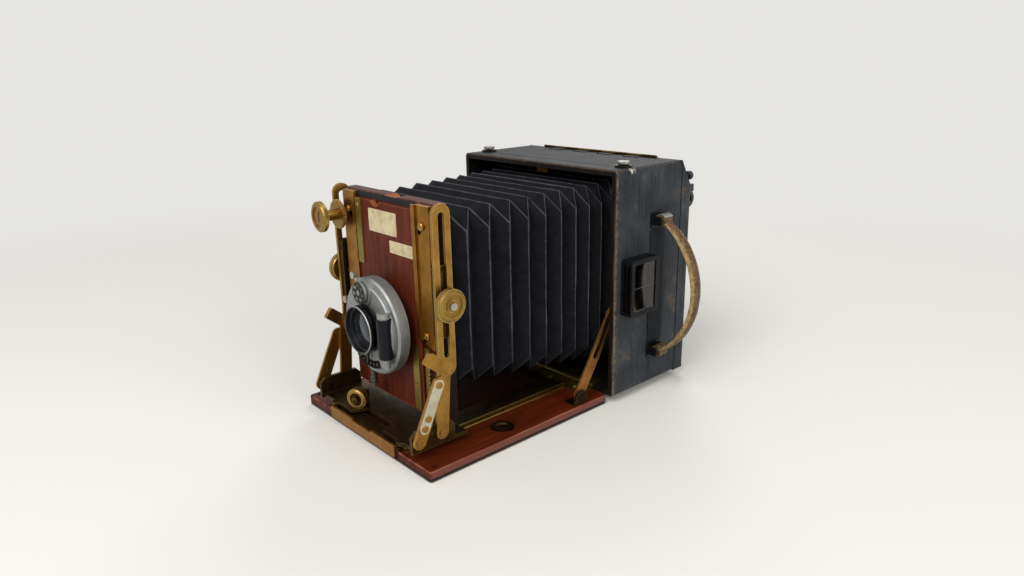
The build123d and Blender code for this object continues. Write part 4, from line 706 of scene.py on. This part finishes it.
# %% The bellows' folds
FOLDS = 32
FOLD_EASE = 0.5
FOLD_DEPTH = 7.5
CUT_X = 9.5
CUT_Z = 12.5
FRONT_FOLD = (-38.45, 58.0, 43.0, 156.0)
REAR_FOLD = (147.0, 70.0, 21.5, 160.0)


def fold(index):
    """Y, half width, lowest and highest point of a fold, in millimetres."""
    t = index / FOLDS
    eased = (1 + FOLD_EASE) * t - FOLD_EASE * t * t
    return [a + (b - a) * eased for a, b in zip(FRONT_FOLD, REAR_FOLD)]


def section(index):
    """The eight corners of a fold; the sides stand out on odd folds, top and bottom on even ones."""
    y, half, low, high = fold(index)
    side = half - (0.0 if index % 2 else FOLD_DEPTH)
    top = half - CUT_X
    sunk = FOLD_DEPTH if index % 2 else 0.0
    upper = [(side, high - CUT_Z), (top, high - sunk), (-top, high - sunk), (-side, high - CUT_Z)]
    lower = [(-side, low + CUT_Z), (-top, low + sunk), (top, low + sunk), (side, low + CUT_Z)]
    return [Vector((x, y, z)) * MM for x, z in upper + lower]


print("folds at Y", [round(fold(i)[0], 1) for i in range(0, FOLDS + 1, 2)])

# %% [markdown]
# The skin is nearly black in the valleys and grey on the ridges: partly where the dye has rubbed off,
# partly a painted highlight. An edge helper would also catch the valleys. So each point carries how near
# it is to a ridge as an attribute, and the finish lays the grey coat by that number. The grey fades on the
# lower folds as painted shade.

# %% Bellows leather
DUST = 7.0
CREASE = 2.2
RIDGE_SHADE_Z = (25.0 * MM, 80.0 * MM)


def pleated_leather():
    """Thin black leather, grey on its ridges as rubbed hide and painted highlight, fading lower down as
    painted shade.
    """
    mat, place = begin("thin_pleated_leather", "#0a0b0d", 0.5)
    ridge = add(mat, "Attribute", out="Fac", attribute_name="ridge")
    dust = add(mat, "TexNoise", place, Scale=per(DUST), Detail=8.0, Roughness=0.7)
    crease = add(mat, "TexNoise", place, Scale=per(CREASE), Detail=6.0, Distortion=1.2)
    # Painted highlight, partly rubbed leather: grey along the ridges.
    crest = add(mat, "MapRange", ridge, 0.86, 0.97)
    crest = add(mat, "Math", crest, dust, operation="MULTIPLY")
    crest = add(mat, "MapRange", crest, 0.18, 0.55)
    # Painted shade: the ridges' grey fades on the lower folds.
    upper = add(mat, "MapRange", xyz(mat)[2], *RIDGE_SHADE_Z)
    coat(mat, "#17181d", dust, 0.35, 0.75)
    coat(mat, "#44454c", add(mat, "Math", crest, upper, operation="MULTIPLY"))
    sheen = add(mat, "MapRange", dust, To_Min=0.42, To_Max=0.66)
    wrinkle = add(mat, "Bump", Height=crease, Strength=0.3, Distance=0.35 * MM)
    feed(mat, Roughness=sheen, Normal=wrinkle, Specular_IOR_Level=0.06)
    return mat


bellows_skin = pleated_leather()
print("leather:", bellows_skin.name)

# %% [markdown]
# It is made in five lengths, because the real one stretches between moving bodies: the case, the bed, the
# track, the carriage and the tilting front. Faces could be listed point by point. Instead a ring of eight
# points is extruded from fold to fold; an integer layer remembers which corner a point is, so that every
# ring can be moved to its section.

# %% Five lengths of bellows
SKIN = 0.9 * MM
RIDGE_ROUND = 0.5 * MM
SLACK = 0.9 * MM
SLACK_WAVES = 55
LONG_EDGE = 30 * MM
LONG_CUTS = 14
CREASED = {0: 1, 3: 2, 4: 5, 7: 6}


def bellows_length(name, first, last):
    """One length of pleated skin from one fold to another."""
    bm = bmesh.new()
    corner = bm.verts.layers.int.new("corner")
    share = bm.verts.layers.float.new("ridge")
    ring = bmesh.ops.create_circle(bm, segments=8, radius=1)["verts"]
    for number, vert in enumerate(ring):
        vert[corner] = number
    rings = {first: ring}
    hem = bm.edges[:]
    for index in range(first, last):
        grown = bmesh.ops.extrude_edge_only(bm, edges=hem)["geom"]
        rings[index + 1] = sorted(verts_of(grown), key=lambda v: v[corner])
        hem = [e for e in grown if isinstance(e, bmesh.types.BMEdge) and all(v in grown for v in e.verts)]
    for index, ring in rings.items():
        for vert, spot in zip(ring, section(index)):
            vert.co = spot
            vert[share] = float((vert[corner] in CREASED) == (index % 2 == 1))
    for index in range(first, last):
        odd, even = (index, index + 1) if index % 2 else (index + 1, index)
        for side_end, top_end in CREASED.items():
            bmesh.ops.connect_verts(bm, verts=[rings[odd][side_end], rings[even][top_end]])
    bmesh.ops.recalc_face_normals(bm, faces=bm.faces)
    crests = [e for e in bm.edges if not e.is_boundary and all(v[share] == 1 for v in e.verts)]
    bmesh.ops.bevel(bm, geom=crests, offset=RIDGE_ROUND, affect="EDGES", segments=2, profile=0.5,
                    material=-1)
    wide = [e for e in bm.edges if e.calc_length() > LONG_EDGE]
    bmesh.ops.subdivide_edges(bm, edges=wide, cuts=LONG_CUTS, use_grid_fill=True)
    bm.normal_update()
    for vert in bm.verts:
        if not vert.is_boundary:
            loose = SLACK * (1 - 0.5 * vert[share])
            vert.co += vert.normal * loose * noise.noise(vert.co * SLACK_WAVES)
    bmesh.ops.solidify(bm, geom=bm.faces[:], thickness=SKIN)
    return finish_piece(name, bm, bellows_skin, None, smooth=50.0, turn_out=False)


LENGTHS = {"front": (0, 2), "rise": (2, 6), "carriage": (6, 14), "track": (14, 19), "bed": (19, FOLDS)}
lengths = {name: bellows_length("bellows_" + name, *span) for name, span in LENGTHS.items()}
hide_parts("bellows")
print("bellows faces:", sum(len(piece.data.polygons) for piece in lengths.values()))

# %% [markdown]
# Each length lies between the two bodies at its ends; a table lists them for four lengths, rear and
# front. A cloth simulation could fold it, but the folds are known. Here those four lengths only have their
# place baked into their mesh, and the middle one rides on the track with a mesh of its own.

# %% Where the lengths sit
ENDS = {
    "bed": ("body", "bed"),
    "track": ("bed", "track"),
    "rise": ("carriage", "rise_clamp"),
    "front": ("rise_clamp", "front"),
}


for name, (rear, front) in ENDS.items():
    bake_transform(lengths[name])
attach(lengths["carriage"], "track")
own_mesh(lengths["carriage"])

# %% [markdown]
# The handle's leather is tan with dark grime in the middle and paler, rubbed flanks. An image could be
# wrapped round it, but the strap is bent and stuffed and would stretch it. So each point carries how far
# it lies across the strap as an attribute, and the coats follow that number and a noise.

# %% Tan strap leather
GRIME = 3.0
FINE_PEBBLE = 0.8


def tan_leather():
    """Greasy tan leather, darker along the middle and rubbed along the sides."""
    mat, place = begin("stuffed_tan_leather", "#38291a", 0.5)
    across = add(mat, "Attribute", out="Fac", attribute_name="across")
    grime = add(mat, "TexNoise", place, Scale=per(GRIME), Detail=9.0, Roughness=0.72)
    side = add(mat, "MapRange", across, 0.45, 0.75)
    coat(mat, "#795f3c", grime, 0.36, 0.66)
    coat(mat, "#9b8154", add(mat, "Math", side, grime, operation="MULTIPLY"), 0.3, 0.6)
    coat(mat, "#3a2818", across, 0.3, 0.05, share=0.45)
    gloss = add(mat, "MapRange", grime, To_Min=0.32, To_Max=0.6)
    pebble = add(mat, "TexVoronoi", place, Scale=per(FINE_PEBBLE))
    grain = add(mat, "Bump", Height=pebble, Strength=0.25, Distance=0.2 * MM)
    feed(mat, Roughness=gloss, Normal=grain, Specular_IOR_Level=0.2)
    return mat


strap_skin = tan_leather()
print("leather:", strap_skin.name)

# %% [markdown]
# The handle is a strap that is stuffed so that it swells in the middle, sewn along both edges, and looped
# round a bar at each end. A curve with a bevel could sweep it, but would keep one section. An oval spun
# along the bend leaves points that can be moved: wider in the middle, pinched at the seams, flat inside.

# %% The stuffed strap
HANDLE_X = 87.0
HANDLE_Y = 126.0
HANDLE_Z = (32.0, 131.0)
HANDLE_BULGE = 29.0
STRAP_W = 11.0
STRAP_T = 5.6
STRAP_STEPS = 56
STRAP_SIDES = 32
END_W = (0.80, 2.5)
END_T = (0.62, 2.2)
SEAM_FROM = 0.6
SEAM_PINCH = 0.35
INNER_T = 0.55
LUMP = 0.25 * MM
LUMP_WAVES = 120

chord = HANDLE_Z[1] - HANDLE_Z[0]
bend = (chord * chord / 4 + HANDLE_BULGE ** 2) / (2 * HANDLE_BULGE)
bend_mid = Vector((HANDLE_X + HANDLE_BULGE - bend, HANDLE_Y, sum(HANDLE_Z) / 2)) * MM
sweep = 2 * math.asin(chord / 2 / bend)


def swell(share, ends):
    """Part of the full size at a share of the way from the strap's ends to its middle."""
    least, rate = ends
    return least + (1 - least) * min(1.0, rate * share)


strap = bmesh.new()
strap_layer = strap.verts.layers.float.new("across")
oval = bmesh.ops.create_circle(strap, segments=STRAP_SIDES, radius=0.5)["verts"]
bmesh.ops.scale(strap, verts=oval, vec=(STRAP_T * MM, STRAP_W * MM, 1))
bmesh.ops.translate(strap, verts=oval, vec=bend_mid + Vector((bend * MM, 0, 0)))
bmesh.ops.rotate(strap, verts=oval, cent=bend_mid, matrix=Matrix.Rotation(sweep / 2, 3, "Y"))
bmesh.ops.spin(strap, geom=strap.edges[:], cent=bend_mid, axis=(0, 1, 0), angle=-sweep, steps=STRAP_STEPS)
for vert in strap.verts:
    out = Vector((vert.co.x - bend_mid.x, 0, vert.co.z - bend_mid.z))
    share = 1 - abs(math.atan2(out.z, out.x)) / (sweep / 2)
    sideways = (vert.co.y - bend_mid.y) / (STRAP_W / 2 * MM)
    lift = out.length - bend * MM
    vert.co.y = bend_mid.y + sideways * STRAP_W / 2 * MM * swell(share, END_W)
    pinch = 1 - SEAM_PINCH * max(0.0, abs(sideways) - SEAM_FROM) / (1 - SEAM_FROM)
    thick = lift * swell(share, END_T) * pinch * (1.0 if lift > 0 else INNER_T)
    vert.co += out.normalized() * (thick - lift + LUMP * noise.noise(vert.co * LUMP_WAVES))
    vert[strap_layer] = abs(sideways)
bmesh.ops.holes_fill(strap, edges=[e for e in strap.edges if e.is_boundary], sides=0)
handle = finish_piece("handle_stuffed_strap", strap, strap_skin, "body", smooth=60.0)
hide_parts("handle_strap")
print("strap bend", round(bend, 1), "mm, sweep", round(math.degrees(sweep), 1), "degrees")

# %% [markdown]
# The strap ends in two eyes, leather rolled round the bars. A ring could be a cylinder with a hole cut in
# it, but a small section spun about its axis has cleaner faces. The helper moves the points of a loop to
# the section's corners and spins it, all the way round or part of it. Seats and lens cells use it too.

# %% Spun pieces and the strap's eyes
def spun(bm, outline, where, start=0.0, turn=360.0, steps=48):
    """Closed outline of radius and height in millimetres, spun about its own Z and put at a place."""
    known = set(bm.verts)
    loop = bmesh.ops.create_circle(bm, segments=len(outline), radius=1.0)["verts"]
    hoop = list({e for v in loop for e in v.link_edges})
    first = Matrix.Rotation(math.radians(start), 3, "Z")
    for vert, (radius, height) in zip(loop, outline):
        vert.co = first @ Vector((radius, 0, height)) * MM
    whole = turn == 360.0
    bmesh.ops.spin(bm, geom=hoop, cent=(0, 0, 0), axis=(0, 0, 1), angle=math.radians(turn), steps=steps,
                   use_merge=whole)
    if not whole:
        bmesh.ops.holes_fill(bm, edges=[e for e in bm.edges if e.is_boundary], sides=0)
    bmesh.ops.transform(bm, matrix=where, verts=[v for v in bm.verts if v not in known])


def band(inner, outer, low, high):
    """Outline of a plain ring between two radii and two heights."""
    return [(inner, low), (outer, low), (outer, high), (inner, high)]


def at(centre, way):
    """Place and turn that takes a shape's own +Z to a direction."""
    turn = Vector((0, 0, 1)).rotation_difference(Vector(way))
    return Matrix.Translation(Vector(centre) * MM) @ turn.to_matrix().to_4x4()


EYE_R = 4.4
EYE_HOLE = 1.85
EYE_HALF = STRAP_W * 0.4
EYE_TONE = 0.4
eyes = bmesh.new()
eyes_layer = eyes.verts.layers.float.new("across")
for z in HANDLE_Z:
    spun(eyes, band(EYE_HOLE, EYE_R, -EYE_HALF, EYE_HALF), at((HANDLE_X, HANDLE_Y, z), (0, 1, 0)), steps=28)
for vert in eyes.verts:
    vert[eyes_layer] = EYE_TONE
finish_piece("handle_eyes", eyes, strap_skin, "body")
print("strap eyes at Z", HANDLE_Z)

# %% [markdown]
# Waxed linen stitches run along both edges of the strap. A dashed image could show them, but real ones
# stand up and catch the light. One stitch is a small sphere drawn out long; it is repeated along the bend.
# The upper eye wears a bright metal cap, a shell spun part of the way round.

# %% Stitches and the bright cap
STITCH_L = 2.2
STITCH_R = 0.32
STITCHES = 34
SEWN = 0.80
STITCH_LIFT = STRAP_T * 0.31
STITCH_Y = STRAP_W * 0.34
TWIST = 0.6
CAP_GAP = 0.05
CAP_T = 0.5
CAP_HALF = STRAP_W * 0.41

thread, thread_place = begin("waxed_linen_thread", "#6f5a3b", 0.7)
coat(thread, "#ad9971", add(thread, "TexNoise", thread_place, Scale=per(TWIST), Detail=3.0))
stitches = bmesh.new()
for hand in (-1, 1):
    for i in range(STITCHES):
        angle = sweep * SEWN * ((i + 0.5) / STITCHES - 0.5)
        outward = Vector((math.cos(angle), 0, math.sin(angle)))
        rise = STITCH_LIFT * swell(1 - abs(angle) / (sweep / 2), END_T)
        spot = bend_mid + outward * (bend + rise) * MM + Vector((0, hand * STITCH_Y * MM, 0))
        lie = Matrix.Translation(spot) @ Matrix.Rotation(-angle, 4, "Y")
        one = bmesh.ops.create_icosphere(stitches, subdivisions=1, radius=1.0)["verts"]
        bmesh.ops.scale(stitches, verts=one, vec=(STITCH_R * MM, STITCH_R * MM, STITCH_L / 2 * MM))
        bmesh.ops.transform(stitches, matrix=lie, verts=one)
finish_piece("handle_stitches", stitches, thread, "body", smooth=80.0)

cap = bmesh.new()
shell = band(EYE_R + CAP_GAP, EYE_R + CAP_GAP + CAP_T, -CAP_HALF, CAP_HALF)
spun(cap, shell, at((HANDLE_X, HANDLE_Y, HANDLE_Z[1]), (0, 1, 0)), start=-150.0, turn=115.0, steps=16)
finish_piece("handle_cap", cap, shutter_nickel, "body")
print("stitches:", 2 * STITCHES)

# %% [markdown]
# Knobs and nuts on such a camera are milled: a toothed wheel pressed fine grooves round their rims so that
# fingers can grip. A bump would leave the outline smooth. A ring of points whose radius steps in and out,
# extruded to a band, gives real grooves.

# %% Milled rims
GROOVE = 0.045
RIM_T = 0.5
CARRIAGE_KNOB = (-20.34, -69.71, 20.4)
CARRIAGE_KNOB_WAY = (0.4226, -0.9063, 0.0)
RIMS = {
    "nut_rim_right": ("nut_right", (63.4, -49.0, 102.5), (1, 0, 0), 10.05, 3.4, 44),
    "nut_rim_left": ("nut_left", (-63.4, -49.0, 102.5), (1, 0, 0), 10.05, 3.4, 44),
    "spool_rim_head": ("spool", (-49.0, -70.5, 144.0), (0, 1, 0), 9.85, 2.6, 44),
    "spool_rim_foot": ("spool", (-49.0, -57.1, 144.0), (0, 1, 0), 9.5, 1.6, 40),
    "focus_knob_rim": ("pinion", (-82.5, 21.0, 13.95), (1, 0, 0), 9.25, 5.2, 44),
    "carriage_knob_rim": ("carriage_clamp", CARRIAGE_KNOB, CARRIAGE_KNOB_WAY, 7.0, 4.4, 36),
}

for name, (body, centre, way, radius, width, teeth) in RIMS.items():
    rim = bmesh.new()
    edge = bmesh.ops.create_circle(rim, segments=teeth * 2, radius=radius * MM)["verts"]
    bmesh.ops.scale(rim, verts=edge[::2], vec=(1 - GROOVE, 1 - GROOVE, 1))
    side = bmesh.ops.extrude_edge_only(rim, edges=rim.edges[:])["geom"]
    bmesh.ops.translate(rim, verts=verts_of(side), vec=(0, 0, width * MM))
    bmesh.ops.translate(rim, verts=rim.verts, vec=(0, 0, -width / 2 * MM))
    bmesh.ops.solidify(rim, geom=rim.faces[:], thickness=-RIM_T * MM)
    bmesh.ops.transform(rim, matrix=at(centre, way), verts=rim.verts)
    finish_piece(name, rim, gold_brass, body, smooth=20.0)
print("milled rims:", list(RIMS))

# %% [markdown]
# Flat fittings are cut from sheet: a felt strip over the lens board that keeps light out, the slot in the
# spool's head, a latch keeper under the roof, a dark disc in the dish of the carriage knob. Boxes would
# have hard corners that no sheet has. So each starts as a flat face, is raised to its thickness, and has
# its upper rim bevelled.

# %% Flat fittings
CORNER = 0.12
DISC_BEVEL = 0.4
BAR_BEVEL = 0.35
FELT_Z = (157.15, 161.1)
FIBRE = 0.5
DISH_OUT = 2.4


def raise_flat(bm, thick, bevel):
    """Gives flat faces in the XY plane a thickness along +Z and a bevelled upper rim."""
    top = bmesh.ops.extrude_face_region(bm, geom=bm.faces[:], use_keep_orig=True)["geom"]
    bmesh.ops.translate(bm, verts=verts_of(top), vec=(0, 0, thick * MM))
    faces = [f for f in top if isinstance(f, bmesh.types.BMFace)]
    rim = list({e for f in faces for e in f.edges if len(set(e.link_faces) & set(faces)) == 1})
    bmesh.ops.bevel(bm, geom=rim, offset=bevel * MM, affect="EDGES", segments=1, profile=0.5, material=-1)


def flat_disc(name, radius, thick, where, material, body):
    """Disc with a bevelled rim."""
    bm = bmesh.new()
    bmesh.ops.create_circle(bm, cap_ends=True, segments=48, radius=radius * MM)
    raise_flat(bm, thick, thick * DISC_BEVEL)
    bmesh.ops.transform(bm, matrix=where, verts=bm.verts)
    return finish_piece(name, bm, material, body)


def flat_bar(name, wide, tall, thick, where, material, body, slot):
    """Rectangular plate with rounded corners and a bevelled rim."""
    bm = bmesh.new()
    bmesh.ops.create_grid(bm, x_segments=1, y_segments=1, size=0.5)
    bmesh.ops.scale(bm, verts=bm.verts, vec=(wide * MM, tall * MM, 1))
    bmesh.ops.bevel(bm, geom=bm.verts[:], offset=min(wide, tall) * CORNER * MM, affect="VERTICES",
                    segments=3, profile=0.5, material=-1)
    raise_flat(bm, thick, thick * BAR_BEVEL)
    bmesh.ops.transform(bm, matrix=where, verts=bm.verts)
    return finish_piece(name, bm, material, body)


felt, felt_place = begin("black_wool_felt", "#08080a", 0.95)
fibre = add(felt, "TexNoise", felt_place, Scale=per(FIBRE), Detail=6.0)
coat(felt, "#1b1b20", fibre)
feed(felt, Normal=add(felt, "Bump", Height=fibre, Strength=0.5, Distance=0.2 * MM))
felt_spot = at((0, -48.59, sum(FELT_Z) / 2), (0, -1, 0))
slot_spot = at((-49.0, -71.72, 144.0), (0, -1, 0))
keeper_spot = at((0, 90.0, 163.6), (0, -1, 0))
dish_spot = at(Vector(CARRIAGE_KNOB) + Vector(CARRIAGE_KNOB_WAY) * DISH_OUT, CARRIAGE_KNOB_WAY)
flat_bar("board_felt", 69.4, FELT_Z[1] - FELT_Z[0], 0.1, felt_spot, felt, "front", "black_enamel")
flat_bar("spool_slot", 1.3, 7.0, 0.1, slot_spot, bronze, "spool", "brass")
flat_bar("roof_keeper", 11.0, 5.0, 1.0, keeper_spot, dull_brass, "body", "brass")
flat_disc("carriage_knob_dish", 4.9, 0.3, dish_spot, bronze, "carriage_clamp")
print("felt, slot, keeper and dish made")

# %% [markdown]
# The shutter's dial has a black face with engraved numbers. They could be an image, but it would have to be
# unwrapped and would blur. Text objects turned to meshes stay sharp, and all of them join one piece.

# %% The dial's face and figures
DIAL_CENTRE = Vector((-2.6, -72.6, 101.2))
DIAL_FACE_R = 7.3
DIAL_FACE_T = 0.35
SPEEDS = ("1", "2", "5", "10", "25", "50", "100")
FIGURE_H = 2.5
FIGURE_T = 0.08
FIGURE_R = 4.9
FIGURE_OUT = 0.36


def lens_side(place):
    """Place on the shutter's front whose own X and Y are the picture's right and up."""
    return Matrix.Translation(Vector(place) * MM) @ Matrix.Rotation(math.radians(90), 4, "X")


dial_spot = at(DIAL_CENTRE, (0, -1, 0))
flat_disc("dial_face", DIAL_FACE_R, DIAL_FACE_T, dial_spot, black_enamel, "dial")
figures = bmesh.new()
for i, text in enumerate(SPEEDS):
    curve = bpy.data.curves.new("figure", "FONT")
    curve.body = text
    curve.size = FIGURE_H * MM
    curve.extrude = FIGURE_T * MM
    curve.align_x = "CENTER"
    curve.align_y = "CENTER"
    holder = bpy.data.objects.new("figure", curve)
    shape = bpy.data.meshes.new_from_object(holder)
    bpy.data.objects.remove(holder)
    known = len(figures.verts)
    figures.from_mesh(shape)
    figures.verts.ensure_lookup_table()
    turn = math.radians(90 - 360 * i / len(SPEEDS))
    off = Vector((FIGURE_R * math.cos(turn), -FIGURE_OUT, FIGURE_R * math.sin(turn)))
    bmesh.ops.transform(figures, matrix=lens_side(DIAL_CENTRE + off), verts=figures.verts[known:])
finish_piece("dial_figures", figures, nickel, "dial")
print("dial figures:", len(SPEEDS))

# %% [markdown]
# A black crescent below the lens carries the aperture marks. It could be cut from a disc; a short band spun
# round the lens axis is the shape at once. The marks are small bars set along its arc.

# %% The aperture crescent
SCALE_R = (22.5, 5.2)
SCALE_T = 0.7
SCALE_START = 235.0
SCALE_SWEEP = 62.0
DRUM_Y = -69.15
MARKS = 6
MARK = (1.5, 0.22, 0.12)
MARK_OUT = 0.38
MARK_FIRST = 0.8
MARK_ROOM = 0.6

scale_spot = lens_side((0, DRUM_Y, LENS_Z))
crescent = bmesh.new()
spun(crescent, band(SCALE_R[0], sum(SCALE_R), -SCALE_T / 2, SCALE_T / 2), scale_spot,
     start=SCALE_START, turn=SCALE_SWEEP, steps=24)
finish_piece("aperture_scale", crescent, scale_enamel, "lens_panel")
marks = bmesh.new()
for i in range(MARKS):
    turn = math.radians(SCALE_START + SCALE_SWEEP * (i + MARK_FIRST) / (MARKS + MARK_ROOM))
    one = bmesh.ops.create_cube(marks, size=1.0)["verts"]
    bmesh.ops.scale(marks, verts=one, vec=Vector(MARK) * MM)
    bmesh.ops.translate(marks, verts=one, vec=Vector((SCALE_R[0] + SCALE_R[1] / 2, 0, MARK_OUT)) * MM)
    bmesh.ops.transform(marks, matrix=scale_spot @ Matrix.Rotation(turn, 4, "Z"), verts=one)
finish_piece("aperture_marks", marks, nickel, "lens_panel")
print("aperture marks:", MARKS)

# %% [markdown]
# The lens sits deep in a black cell: a thin rim, a cone that steps inwards so that stray light dies in it,
# and the domed front glass at its foot. Stacked cylinders could make it, but a lathe made the real one, so
# each piece is one outline spun about the lens axis. A smaller cell and glass stand behind the board.

# %% Lens cells and glasses
CELL = [
    (13.8, 0.0), (13.8, 4.6), (15.5, 4.8), (16.0, 5.2), (16.0, 7.6), (15.6, 8.0), (15.0, 8.0), (14.7, 7.6),
    (14.4, 5.0), (13.7, 4.8), (13.4, 4.4), (12.9, 2.1), (12.6, 1.9), (11.2, 1.7), (10.6, -5.0),
    (12.0, -5.0), (12.0, 0.0),
]
REAR_CELL = band(9.6, 12.0, -7.0, 7.0)
FRONT_GLASS = [(0.0, 1.75), (0.0, 3.9), (4.0, 3.75), (8.0, 3.2), (12.4, 2.2), (12.4, 1.95), (11.4, 1.75)]
REAR_GLASS = [(0.0, -2.0), (0.0, 0.6), (5.0, 0.2), (9.55, -0.8), (9.55, -2.0)]
RIM_HIGHLIGHT = [(15.66, 7.78), (15.96, 7.46), (16.06, 7.56), (15.70, 8.04)]
REAR_Y = -49.05
ROUND = 72
SAME_SPOT = 0.001 * MM

front_seat = at((0, DRUM_Y, LENS_Z), (0, -1, 0))
rear_seat = at((0, REAR_Y, LENS_Z), (0, -1, 0))
cells = bmesh.new()
spun(cells, CELL, front_seat, steps=ROUND)
spun(cells, REAR_CELL, rear_seat)
mount = finish_piece("lens_mounts", cells, mount_enamel, "lens_panel")
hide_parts("lens_cells")
elements = bmesh.new()
spun(elements, FRONT_GLASS, front_seat, steps=ROUND)
spun(elements, REAR_GLASS, rear_seat)
bmesh.ops.remove_doubles(elements, verts=elements.verts, dist=SAME_SPOT)
polished = finish_piece("lens_elements", elements, lens_glass, "lens_panel", smooth=40.0)
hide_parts("lens_glasses")
# Painted highlight: a thin bright metal ring on the rim's front edge stands for the light that edge catches.
bright = bmesh.new()
spun(bright, RIM_HIGHLIGHT, front_seat, steps=ROUND)
finish_piece("lens_rim_highlight", bright, shutter_nickel, "lens_panel")
print("lens faces:", len(mount.data.polygons), len(polished.data.polygons))

# %% [markdown]
# Small slotted screws hold the hinges and the strips. A slot could be cut out with a boolean. Here half a
# disc is cut off by a plane, raised, bevelled and mirrored, which leaves the slot open between the halves
# and clean edges round it. The head is made once, and copies of it are set in rows.

# %% Slotted screws
SCREW_SIDES = 20
SLIT_HALF = 0.14
HEAD_T = 0.42
HEAD_BEVEL = 0.16
FOOT_R = 0.97
FOOT_UP = 0.12
FIRST_TURN = 0.9
NEXT_TURN = 1.7


def screw_mesh():
    """Screw head of radius 1 mm with a slot along X."""
    bm = bmesh.new()
    bmesh.ops.create_circle(bm, cap_ends=True, segments=SCREW_SIDES, radius=MM)
    bmesh.ops.bisect_plane(bm, geom=bm.verts[:] + bm.edges[:] + bm.faces[:], plane_co=(0, SLIT_HALF * MM, 0),
                           plane_no=(0, -1, 0), clear_outer=True)
    raise_flat(bm, HEAD_T, HEAD_BEVEL)
    bmesh.ops.mirror(bm, geom=bm.verts[:] + bm.edges[:] + bm.faces[:], axis="Y", merge_dist=0)
    foot = bmesh.ops.create_circle(bm, cap_ends=True, segments=SCREW_SIDES, radius=FOOT_R * MM)["verts"]
    bmesh.ops.translate(bm, verts=foot, vec=(0, 0, FOOT_UP * MM))
    return mesh_of("screw", bm)


screw = screw_mesh()
ROWS = {
    "bed_hinge_screws": (
        "bed", [(x, 71.0, 7.75) for x in (-52, -26, 0, 26, 52)], (0, 0, 1), 1.7, olive_brass),
    "door_hinge_screws": (
        "body", [(x, 164.15, 142.4) for x in (-54, -42, -6, 6, 42, 54)], (0, 1, 0), 1.5, brass),
    "board_strip_screws": (
        "lens_panel", [(27.5, -53.0, 42.6), (-29.2, -53.0, 152.5)], (0, -1, 0), 1.4, olive_brass),
    "strip_screw_heads": (
        "front", [(x, -52.65, z) for x in (-42.5, 42.5) for z in (78.0, 148.0)], (0, -1, 0), 2.3, brass),
}
for name, (body, places, way, radius, material) in ROWS.items():
    row = bmesh.new()
    for i, centre in enumerate(places):
        known = len(row.verts)
        row.from_mesh(screw)
        row.verts.ensure_lookup_table()
        # Each screw stopped at its own angle when it was driven home.
        turn = Matrix.Rotation(FIRST_TURN + NEXT_TURN * i, 4, "Z") @ Matrix.Scale(radius, 4)
        bmesh.ops.transform(row, matrix=at(centre, way) @ turn, verts=row.verts[known:])
    finish_piece(name, row, material, body)
print("rows of screws:", list(ROWS))

# %% [markdown]
# Two edges of each guide show bright lines: the lower outer one and the upper one. These are painted
# highlights. The edge helper is too narrow to show them from afar, so thin strips of bright brass stand for
# them.

# %% Bright edges of the guides
GUIDE_L = 141.0
GUIDE_MID = -5.0
EDGE_BAR = (0.8, GUIDE_L, 0.3)
LINE_BAR = (0.5, GUIDE_L, 0.2)
for hand, sign in (("left", -1), ("right", 1)):
    # Painted highlights: thin bright strips along two edges of each guide.
    low_edge = at((sign * 46.45, GUIDE_MID, 7.5), (sign, 0, 0))
    flat_bar("guide_highlight_edge_" + hand, *EDGE_BAR, low_edge, guide_highlight_brass, "bed", "brass")
    top_edge = at((sign * 45.9, GUIDE_MID, 10.85), (0, 0, 1))
    flat_bar("guide_highlight_line_" + hand, *LINE_BAR, top_edge, gold_brass, "bed", "brass")
print("guide edges:", GUIDE_L, "mm long")

# %% [markdown]
# The press buttons stand in black seats on the roof. Below its head each button is black: painted shade
# under the head. A seat could be part of the case, but it is another metal, so it is a spun ring of its
# own. The finder's pane has a cross of thin wires for levelling and a lip along its lower edge, all of
# them flat bars.

# %% Button seats and the finder's cross
BUTTON_X = 71.6
BUTTON_SHADE_Z = (172.6 * MM, 172.4 * MM)
SEAT = band(4.6, 6.0, 0.0, 1.5)
PANE = (90.2, 101.75, 87.5)
PANE_SIZE = (34.0, 23.0)
WIRE = 0.28
WIRE_T = 0.15
LIP = (1.1, 23.0, 0.4)
LIP_Z = 70.7

# Painted shade: each button is black below its head.
coat(button_nickel, "#0b0b0c", xyz(button_nickel)[2], *BUTTON_SHADE_Z)
for hand, x in (("left", -BUTTON_X), ("right", BUTTON_X)):
    ring = bmesh.new()
    spun(ring, SEAT, at((x, 98.0, 170.25), (0, 0, 1)))
    finish_piece("button_seat_" + hand, ring, black_enamel, "body")
pane_spot = at(PANE, (1, 0, 0))
lip_spot = at((PANE[0], PANE[1], LIP_Z), (1, 0, 0))
flat_bar("finder_wire_upright", PANE_SIZE[0], WIRE, WIRE_T, pane_spot, dark_steel, "body", "nickel")
flat_bar("finder_wire_level", WIRE, PANE_SIZE[1], WIRE_T, pane_spot, dark_steel, "body", "nickel")
flat_bar("finder_lip", *LIP, lip_spot, dark_steel, "body", "nickel")
print("finder cross at", PANE)
